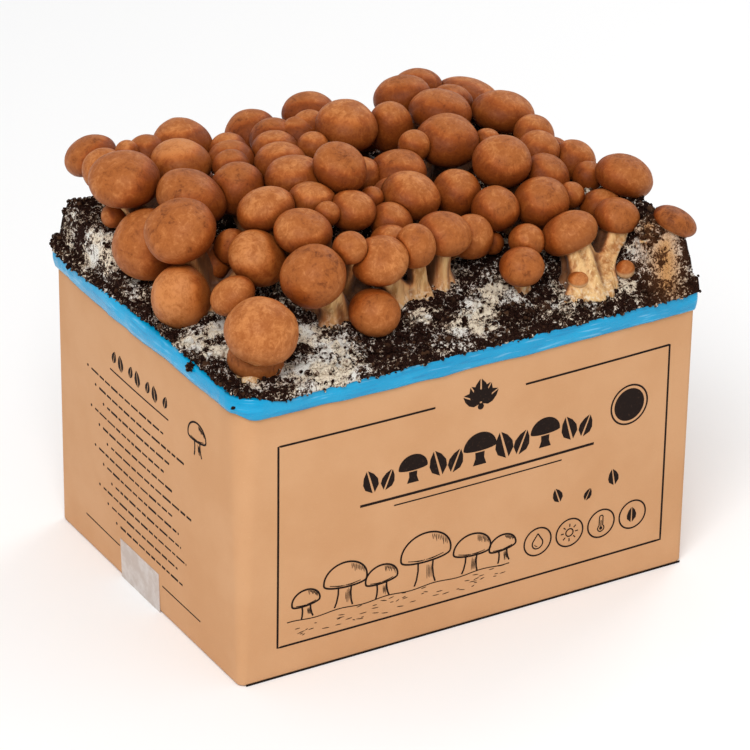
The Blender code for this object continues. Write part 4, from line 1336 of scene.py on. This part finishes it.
def growth_at(x, y):
    """How thick the mycelium is at places of the casing."""
    thick = marks_at(GROWTH, x, y)
    for at in CLUSTERS.values():
        far = np.hypot(x - at[0], y - at[1]) / HEEL_RADIUS
        thick = np.maximum(thick, HEEL_GROWTH * np.exp(-(far**2)))
    return thick


def casing_relief(points):
    """Height of the lumps on the casing, with pits between them."""
    pits = np.clip(PIT_BREADTH - np.abs(relief(points, SOIL_PITS)), 0, 1) * PIT_SLOPE
    return (relief(points, SOIL_LUMPS) - pits * PIT_DEPTH + relief(points, SOIL_GRAIN)) * MM


def casing_surface(x, y):
    """Points on the casing, lumps included; its edge lies over the liner's fold."""
    points = np.c_[x, y, soil_height(x, y)]
    edge = np.minimum(SOIL_HALF[0] - np.abs(x), SOIL_HALF[1] - np.abs(y))
    points[:, 2] += casing_relief(points) * (CALM + (1 - CALM) * ease(0, CALM_REACH, edge))
    rise = EDGE_RISE * ease(EDGE_REACH, 0, edge)
    points[:, 2] = np.maximum(points[:, 2] + rise, RIM + rise)
    return points


def casing_lip(edge):
    """Rings of peat from the casing's edge over the liner's fold and down its outside."""
    along = np.roll(edge, -4, axis=0) - np.roll(edge, 4, axis=0)
    outward = units(np.c_[along[:, 1], -along[:, 0]])
    open_side = ease(*LIP_OPEN_X, edge[:, 0]) * ease(*LIP_OPEN_Y, edge[:, 1])
    drop = LIP_DROP * np.clip(1 + relief(edge, LIP_RAGS), *LIP_RANGE)
    bottom = RIM - drop * (1 - open_side) + open_side * LIP_OPEN_LIFT
    rings = []
    for out, down in LIP:
        points = edge.copy()
        points[:, :2] += outward * (out * (1 - LIP_LESS * open_side) * MM)[:, None]
        points[:, 2] += (bottom - edge[:, 2]) * down
        aside = relief(points, LIP_ASIDE) * MM * ease(1, 4, out)
        points[:, :2] += outward * aside[:, None]
        points[:, 2] += relief(points, LIP_UP) * MM
        rings.append(tucked(points))
    return rings


def within_casing(x, y):
    """Places moved inside the casing's rounded corners."""
    radius = np.where((x < 0) & (y < 0), CORNER_WORN - SOIL_SPILL, CORNER_HIGH - SOIL_SPILL)
    inner = [half - radius for half in SOIL_HALF]
    over = np.maximum(np.abs(x) - inner[0], 0), np.maximum(np.abs(y) - inner[1], 0)
    length = np.maximum(np.hypot(*over), 1e-9)
    share = np.minimum(1, radius / length)
    beyond = length > radius
    x = np.where(beyond & (over[0] > 0), np.sign(x) * (inner[0] + over[0] * share), x)
    y = np.where(beyond & (over[1] > 0), np.sign(y) * (inner[1] + over[1] * share), y)
    return x, y


def casing_grid():
    """Points over the casing, row by row, their numbers, and the numbers round its edge."""
    columns, rows = CASING_GRID
    u, v = np.meshgrid(np.linspace(-1, 1, columns), np.linspace(-1, 1, rows))
    u, v = u.ravel(), v.ravel()
    x = u * (SOIL_HALF[0] + bow(RIM, (v + 1) / 2))
    y = v * (SOIL_HALF[1] + bow(RIM, (u + 1) / 2))
    points = casing_surface(*within_casing(x, y))
    index = np.arange(columns * rows).reshape(rows, columns)
    edge = np.concatenate((index[0, :-1], index[:-1, -1], index[-1, :0:-1], index[:0:-1, 0]))
    return points, index, edge


def casing_edge():
    points, _, edge = casing_grid()
    return points[edge]


def make_casing(finish):
    points, index, edge = casing_grid()
    x, y = points[:, 0], points[:, 1]
    here, right, up, across = index[:-1, :-1], index[:-1, 1:], index[1:, :-1], index[1:, 1:]
    quads = np.stack((here, right, across, up), -1).reshape(-1, 4)
    shrink = np.array([1 - (SOIL_INSET - SOIL_SPILL) / half for half in SOIL_HALF] + [0])
    plan = np.c_[x, y, x * 0][edge] * shrink
    skirt = [plan + (0, 0, z) for z in CASING_LEVELS]
    skirt.extend(casing_lip(points[edge])[::-1])
    count = len(edge)
    first = len(points)
    sides = [tube_faces(len(skirt), count, first)]
    top = first + (len(skirt) - 1) * count + np.arange(count)
    sides.append(np.stack((top, np.roll(top, -1), np.roll(edge, -1), edge), -1))
    sides.append([tuple(range(first, first + count))[::-1]])
    points = np.concatenate((points, *skirt))
    growth = growth_at(points[:, 0], points[:, 1])
    rust = marks_at(RUST, points[:, 0], points[:, 1])
    marks = {"growth": growth, "rust": rust, "tone": np.zeros(len(points))}
    made = add_mesh("casing_soil", points, [quads, *sides], finish, **marks)
    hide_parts("substrate")


def random_turns(draw, count):
    """Turning matrices, one for each crumb."""
    parts = draw.normal(size=(4, count))
    w, x, y, z = parts / np.linalg.norm(parts, axis=0)
    rows = (
        (1 - 2 * (y * y + z * z), 2 * (x * y - w * z), 2 * (x * z + w * y)),
        (2 * (x * y + w * z), 1 - 2 * (x * x + z * z), 2 * (y * z - w * x)),
        (2 * (x * z - w * y), 2 * (y * z + w * x), 1 - 2 * (x * x + y * y)),
    )
    return np.moveaxis(np.array(rows), -1, 0)


def make_crumbs(name, places, sizes, fineness, seed, finish):
    """Lumps of peat of uneven shape at the given places."""
    ball = bmesh.new()
    bmesh.ops.create_icosphere(ball, subdivisions=fineness, radius=1)
    shape = np.array([vertex.co[:] for vertex in ball.verts])
    faces = np.array([[vertex.index for vertex in face.verts] for face in ball.faces])
    ball.free()
    draw = np.random.default_rng(seed)
    count = len(places)
    stretch = draw.uniform(*CRUMB_STRETCH, (count, 1, 3))
    dents = 1 + draw.uniform(*CRUMB_DENTS, (count, len(shape), 1))
    lumps = np.einsum("nij,nvj->nvi", random_turns(draw, count), shape * stretch * dents)
    points = places[:, None, :] + lumps * (sizes / 2)[:, None, None]
    starts = np.arange(count)[:, None, None] * len(shape)
    marks = {"tone": draw.uniform(0, 1, count)}
    marks["growth"] = growth_at(places[:, 0], places[:, 1]) * draw.uniform(*CRUMB_GROWTH, count)
    marks["rust"] = marks_at(RUST, places[:, 0], places[:, 1])
    marks = {key: np.repeat(values, len(shape)) for key, values in marks.items()}
    points, faces = points.reshape(-1, 3), (faces + starts).reshape(-1, 3)
    made = add_mesh(name, points, faces, finish, smooth=fineness > 1, **marks)
    return made


def open_places(draw, count, mushrooms):
    """Places on the casing, most of them where no cap is over them."""
    x = draw.uniform(-1, 1, count) * SOIL_HALF[0]
    y = draw.uniform(-1, 1, count) * SOIL_HALF[1]
    x, y = within_casing(x, y)
    covered = np.zeros(count, bool)
    for mushroom in mushrooms:
        covered |= np.hypot(x - mushroom.centre[0], y - mushroom.centre[1]) < mushroom.radius
    kept = ~covered | (draw.uniform(0, 1, count) < UNDER_CAPS)
    return casing_surface(x[kept], y[kept])


def scatter_crumbs(mushrooms, finish):
    draw = np.random.default_rng(21)
    for name, count, low, high, fineness in CRUMBS:
        places = open_places(draw, count, mushrooms)
        sizes = low + (high - low) * draw.uniform(0, 1, len(places)) ** 2
        places[:, 2] += sizes * CRUMB_LIFT
        made = make_crumbs(name, places, sizes, fineness, count, finish)
        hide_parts("substrate")
    edge = casing_edge()
    rings = np.array([edge, *casing_lip(edge)])
    at = draw.integers(0, len(edge), LIP_CRUMBS)
    level = draw.integers(0, len(rings), LIP_CRUMBS)
    places = rings[level, at] + draw.normal(0, LIP_SCATTER, (LIP_CRUMBS, 3))
    sizes = LIP_LEAST + (LIP_MOST - LIP_LEAST) * draw.uniform(0, 1, LIP_CRUMBS) ** 2
    places[:, 2] += sizes * LIP_CRUMB_LIFT
    made = make_crumbs("crumbs_lip", places, sizes, 1, 23, finish)
    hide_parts("substrate")
    buried = [mushroom for mushroom in mushrooms if mushroom.name == BURIED][0]
    foot, crown = stem_foot(buried), buried.centre
    share = draw.uniform(0, 0.85, CLODS)[:, None]
    turns = draw.uniform(0, 2 * math.pi, CLODS)
    aside = np.c_[np.cos(turns), np.sin(turns), draw.uniform(-0.5, 0.5, CLODS)]
    places = foot + (crown - foot) * share + aside * (CLOD_REACH * (1.3 - share * 0.5))
    sizes = CLOD_LEAST + (CLOD_MOST - CLOD_LEAST) * draw.uniform(0, 1, CLODS)
    made = make_crumbs("crumbs_clods", places, sizes, 2, 24, finish)
    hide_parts("substrate")
    places = np.array([on_collar(sight(px, py)) for px, py, _ in LOOSE_CRUMBS])
    sizes = np.array([size for _, _, size in LOOSE_CRUMBS]) * MM
    make_crumbs("crumbs_on_film", places, sizes, 3, 22, finish)


def make_threads(mushrooms):
    """White threads of mycelium that lie on the casing."""
    draw = np.random.default_rng(31)
    places = open_places(draw, THREADS * THREAD_TRIES, mushrooms)
    thick = growth_at(places[:, 0], places[:, 1])
    inside = (np.abs(places[:, :2]) < np.array(SOIL_HALF) - THREAD_ROOM).all(axis=1)
    places = places[inside & (draw.uniform(0, 1, len(places)) < thick)][:THREADS]
    points, faces = [], []
    for place in places:
        heading = draw.uniform(0, 2 * math.pi)
        step = draw.uniform(0.5, 1.4) * MM
        width = draw.uniform(0.10, 0.24) * MM
        line = [place[:2]]
        for _ in range(THREAD_STEPS):
            heading += draw.normal(0, THREAD_BEND)
            line.append(line[-1] + step * np.array((math.cos(heading), math.sin(heading))))
        x, y = within_casing(*np.array(line).T)
        path = casing_surface(x, y)
        path[:, 2] += draw.uniform(0.1, 0.7) * MM
        side = np.array((-math.sin(heading), math.cos(heading), 0)) * width
        shape = np.array((side, (0, 0, width), -side))
        faces.append(tube_faces(len(path), 3, len(points) * 3))
        points.extend(place + shape for place in path)
    points, faces = np.concatenate(points), np.concatenate(faces)
    made = add_mesh("mycelium_threads", points, faces, thread_finish())
    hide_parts("substrate")


# Mushrooms


def cap_points(mushroom):
    """Rings from the closed underside up to the crown, with where each lies on the cap."""
    flat = mushroom.flatness
    bends = np.radians(np.linspace(DOME_END, DOME_START, DOME_RINGS))
    rows = [*CAP_UNDERSIDE, *((math.sin(b), math.cos(b), b / bends[0], 0) for b in bends)]
    turns, spokes = spokes_round(*frame_across(mushroom.axis), AROUND)
    points = [mushroom.axis * (CAP_HOLLOW * flat)]
    grain, under, rim = [(0, 0, CAP_HOLLOW_SHARE)], [1.0], [1.0]
    for breadth, height, polar, hidden in rows:
        points.extend(spokes * breadth + mushroom.axis * (height * flat))
        grain.extend((math.cos(turn), math.sin(turn), polar * GRAIN_LENGTH) for turn in turns)
        under.extend([hidden] * AROUND)
        rim.extend([ease(*RIM_BAND, polar)] * AROUND)
    points.append(mushroom.axis * flat)
    grain.append((0, 0, 0))
    under.append(0.0)
    rim.append(0.0)
    return np.array(points) * mushroom.radius, *map(np.array, (grain, under, rim))


def cap_faces(rings):
    """Faces of a body with a point, rings and a point."""
    body = tube_faces(rings, AROUND, 1)
    here = np.arange(AROUND)
    there = (here + 1) % AROUND
    last = 1 + rings * AROUND
    low = np.stack((np.zeros(AROUND, int), there + 1, here + 1), -1)
    row = last - AROUND
    high = np.stack((np.full(AROUND, last), row + here, row + there), -1)
    return [low, body, high]


def make_room(points, mushroom, nearer):
    """Moves points out of the caps that the mushroom has to make room for."""
    for other in nearer:
        reach = (other.radius + mushroom.radius) * NEIGHBOUR_REACH
        if math.dist(other.centre, mushroom.centre) > reach:
            continue
        local = points - other.centre
        height = local @ other.axis
        side = np.linalg.norm(local - np.outer(height, other.axis), axis=1)
        depth = np.hypot(side, height / other.flatness) / other.radius
        depth = np.maximum(depth, DEPTH_LEAST)
        wanted = 1 + SOFTNESS * np.logaddexp(0, (depth - 1) / SOFTNESS)
        wanted = np.where(depth < DEPTH_MOST, wanted, depth)
        points = other.centre + local * (wanted / depth)[:, None]
    return points


def shade_between(points, outward, mushrooms):
    """How much of the view out of each point the caps take up, 0 to 1: the strength of painted shade.
    """
    outward = units(outward)
    taken = np.zeros(len(points))
    for other in mushrooms:
        apart = other.centre - points
        far = np.maximum(np.linalg.norm(apart, axis=1), other.radius)
        facing = np.einsum("ij,ij->i", apart, outward) / far
        taken += np.clip(facing, 0, 1) * (other.radius / far) ** 2
    return np.clip(taken, 0, 1)


def cap_parts(mushroom, nearer, number, mushrooms):
    """Points and attributes of a cap."""
    points, grain, under, rim = cap_points(mushroom)
    lump = 1 + relief(points + number * PART_APART, CAP_LUMPS)
    points = mushroom.centre + points * lump[:, None]
    points = make_room(points, mushroom, nearer)
    draw = np.random.default_rng(700 + number)
    tone = TONES.get(mushroom.name, draw.uniform(-TONE_SPREAD, TONE_SPREAD))
    if mushroom.name in BUDS:
        under = np.maximum(under, ease(*BUD_VEIL_BAND, rim) * BUD_VEIL)
    others = [each for each in mushrooms if each is not mushroom]
    outward = points - mushroom.centre
    # Painted shade: darker where other caps take up the view out of a point
    shade = shade_between(points, outward, others)
    upward = outward[:, 2] / np.linalg.norm(outward, axis=1)
    # More painted shade on the downward-facing side of the cap
    shade = np.clip(shade + LOW_SIDE_SHADE * np.clip(LOW_SIDE_SHADE - upward, 0, 1), 0, 1)
    marks = {"grain": grain, "under": under, "rim": rim, "shade": shade}
    return points, {**marks, "tone": np.full(len(points), tone)}


def join_parts(parts):
    """Points, faces and attributes of several caps as one mesh."""
    faces, first = [], 0
    for points, _ in parts:
        rings = (len(points) - 2) // AROUND
        faces.extend(group + first for group in cap_faces(rings))
        first += len(points)
    marks = {}
    for name in parts[0][1]:
        marks[name] = np.concatenate([kept[name] for _, kept in parts])
    return np.concatenate([points for points, _ in parts]), faces, marks


def make_caps(mushrooms, finish):
    """Each large cap is one piece; the small ones of a cluster are one piece."""
    small = {name: [] for name in CLUSTERS}
    order = sorted(mushrooms, key=lambda each: each.centre @ BACK, reverse=True)
    listed = [mushroom for mushroom in mushrooms if mushroom.own]
    for number, mushroom in enumerate(mushrooms):
        before = order[: order.index(mushroom)]
        nearer = [each for each in before if not mushroom.own or not each.own]
        if mushroom.own:
            nearer = listed[: listed.index(mushroom)] + nearer
        part = cap_parts(mushroom, nearer, number, mushrooms)
        if mushroom.cluster and not mushroom.own:
            small[mushroom.cluster].append(part)
            continue
        points, faces, marks = join_parts([part])
        alone = mushroom.name in ALONE
        name = f"mushroom_{mushroom.name}_cap" if alone else f"cap_{mushroom.name}_skin"
        made = add_mesh(name, points, faces, finish, **marks)
        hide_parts(f"mushroom_{mushroom.name}" if alone else f"cap_{mushroom.name}")
    for cluster, parts in small.items():
        points, faces, marks = join_parts(parts)
        made = add_mesh(f"small_caps_{cluster}", points, faces, finish, **marks)
        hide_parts(f"stems_{cluster}")


def stem_foot(mushroom):
    """Where a stem enters the casing: below its cap, drawn in towards its cluster."""
    x, y = mushroom.centre[:2] - mushroom.axis[:2] * mushroom.radius
    if mushroom.name in FEET:
        x, y = on_soil(sight(*FEET[mushroom.name]))[:2]
    elif mushroom.cluster:
        middle = CLUSTERS[mushroom.cluster]
        x += (middle[0] - x) * STEM_DRAW
        y += (middle[1] - y) * STEM_DRAW
    x = min(max(x, -STEM_REACH_X), STEM_REACH_X)
    y = min(max(y, -STEM_REACH_Y), STEM_REACH_Y)
    return np.array((x, y, float(soil_height(x, y))))


def stem_rings(mushroom, number):
    """Rings of a fluted stem that flares at its foot, from below the soil up into the cap."""
    inside = mushroom.radius * mushroom.flatness * STEM_INSIDE
    start = mushroom.centre - mushroom.axis * inside
    foot = stem_foot(mushroom)
    foot[2] = min(foot[2] - STEM_ROOT, start[2] - 2 * STEM_ROOT)
    pull = np.linalg.norm(start - foot) * STEM_PULL
    handles = (start, start - mushroom.axis * pull, foot + np.array((0, 0, pull)), foot)
    widths = (STEM_TOP, STEM_WAIST, STEM_WAIST, STEM_FOOT)
    draw = np.random.default_rng(900 + number)
    flutes, phase = draw.integers(3, 6), draw.uniform(0, 2 * math.pi)
    rings = []
    for share in np.linspace(1, 0, STEM_RINGS):
        rest = 1 - share
        weights = (rest**3, 3 * rest**2 * share, 3 * rest * share**2, share**3)
        middle = sum(weight * handle for weight, handle in zip(weights, handles))
        slope = unit(mushroom.axis * rest + (0, 0, share))
        width = mushroom.radius * sum(weight * size for weight, size in zip(weights, widths))
        width *= 1 + FOOT_FLARE * ease(0.6, 1, share)
        if mushroom.name in FEET:
            width *= 1 + (SEEN_STEMS.get(mushroom.name, SEEN_STEM) - 1) * (0.55 + 0.45 * share)
        turns, spokes = spokes_round(*frame_across(slope), STEM_AROUND)
        depth = 1 + FLUTE_DEPTH * np.cos(flutes * turns + phase + FLUTE_TWIST * share)
        depth += FINE_FLUTE_DEPTH * np.cos((flutes + 4) * turns - phase)
        rings.append(middle + spokes * (width * depth)[:, None])
    return rings


def heel_rings(cluster):
    """The low knot of tissue from which a cluster's stems rise."""
    x, y = CLUSTERS[cluster]
    middle = np.array((x, y, float(soil_height(x, y)) - HEEL_DEPTH))
    turns, spokes = spokes_round((1, 0, 0), (0, 1, 0), 2 * STEM_AROUND)
    edge = HEEL_RADIUS * (1 + 0.16 * np.cos(3 * turns + x / MM) + 0.1 * np.cos(7 * turns))
    spokes *= edge[:, None]
    return [middle + spokes * share + (0, 0, lift * HEEL_RISE) for share, lift in HEEL_RINGS]


def fused(bodies):
    """Points, edges and faces of closed bodies grown together, as one skin."""
    mesh = bpy.data.meshes.new("fused")
    points, faces = joined(bodies)
    mesh.from_pydata(points.tolist(), [], faces)
    held = linked("fused", mesh)
    remesh = held.modifiers.new("grow together", "REMESH")
    remesh.mode = "VOXEL"
    remesh.voxel_size = SKIN_GRAIN
    ready = held.evaluated_get(bpy.context.evaluated_depsgraph_get())
    skin = ready.to_mesh()
    points = np.empty(len(skin.vertices) * 3, np.float32)
    skin.vertices.foreach_get("co", points)
    edges = np.empty(len(skin.edges) * 2, np.int32)
    skin.edges.foreach_get("vertices", edges)
    faces = [tuple(face.vertices) for face in skin.polygons]
    ready.to_mesh_clear()
    bpy.data.objects.remove(held)
    bpy.data.meshes.remove(mesh)
    return points.reshape(-1, 3).astype(float), edges.reshape(-1, 2), faces


def evened(points, edges, rounds):
    """Points moved towards the middle of their neighbours."""
    count = np.bincount(edges.ravel(), minlength=len(points))[:, None]
    for _ in range(rounds):
        total = np.zeros_like(points)
        np.add.at(total, edges[:, 0], points[edges[:, 1]])
        np.add.at(total, edges[:, 1], points[edges[:, 0]])
        points = (points + total / count) / 2
    return points


def point_normals(points, faces):
    """Directions out of a skin of quads, one for each point."""
    quads = np.array([face for face in faces if len(face) == 4])
    a, b, c, d = (points[quads[:, i]] for i in range(4))
    square = np.cross(c - a, d - b)
    normals = np.zeros_like(points)
    for i in range(4):
        np.add.at(normals, quads[:, i], square)
    return units(normals)


def make_stems(mushrooms, finish):
    """The stems of each cluster, grown together at the foot, and those that stand alone."""
    groups = {name: [heel_rings(name)] for name in CLUSTERS}
    for number, mushroom in enumerate(mushrooms):
        name = mushroom.cluster or mushroom.name
        groups.setdefault(name, []).append(stem_rings(mushroom, number))
    for name, bodies in groups.items():
        points, edges, faces = fused(bodies)
        points = evened(points, edges, EVEN_ROUNDS)
        normals = point_normals(points, faces)
        # Painted shade in the dips: how far a point lies below its smoothed neighbours
        hollow = np.einsum("ij,ij->i", evened(points, edges, HOLLOW_ROUNDS) - points, normals)
        hollow = ease(*HOLLOW_BAND, hollow)
        points = points + normals * (relief(points, STEM_FIBRES) * MM)[:, None]
        above = points[:, 2] - soil_height(points[:, 0], points[:, 1])
        foot = ease(*FOOT_BAND, above)
        # Painted shade from the caps overhead, worked out looking upward of the skin
        shade = shade_between(points, normals + (0, 0, STEM_UPWARD), mushrooms)
        cluster = name in CLUSTERS
        title = f"stems_{name}_flesh" if cluster else f"mushroom_{name}_stem"
        made = add_mesh(title, points, [faces], finish, hollow=hollow, foot=foot, shade=shade)
        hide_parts(f"stems_{name}" if cluster else f"mushroom_{name}")


make_camera()
make_lights()
make_floor()
make_carton()
dress("tape", tape_finish())
ink = ink_finish()
make_front_print(ink)
make_left_print(ink)
make_liner()
peat = peat_finish()
grown = placed_mushrooms() + rear_mushrooms() + hidden_mushrooms()
make_casing(peat)
scatter_crumbs(grown, peat)
make_threads(grown)
make_caps(grown, cap_finish())
make_stems(grown, stem_finish())
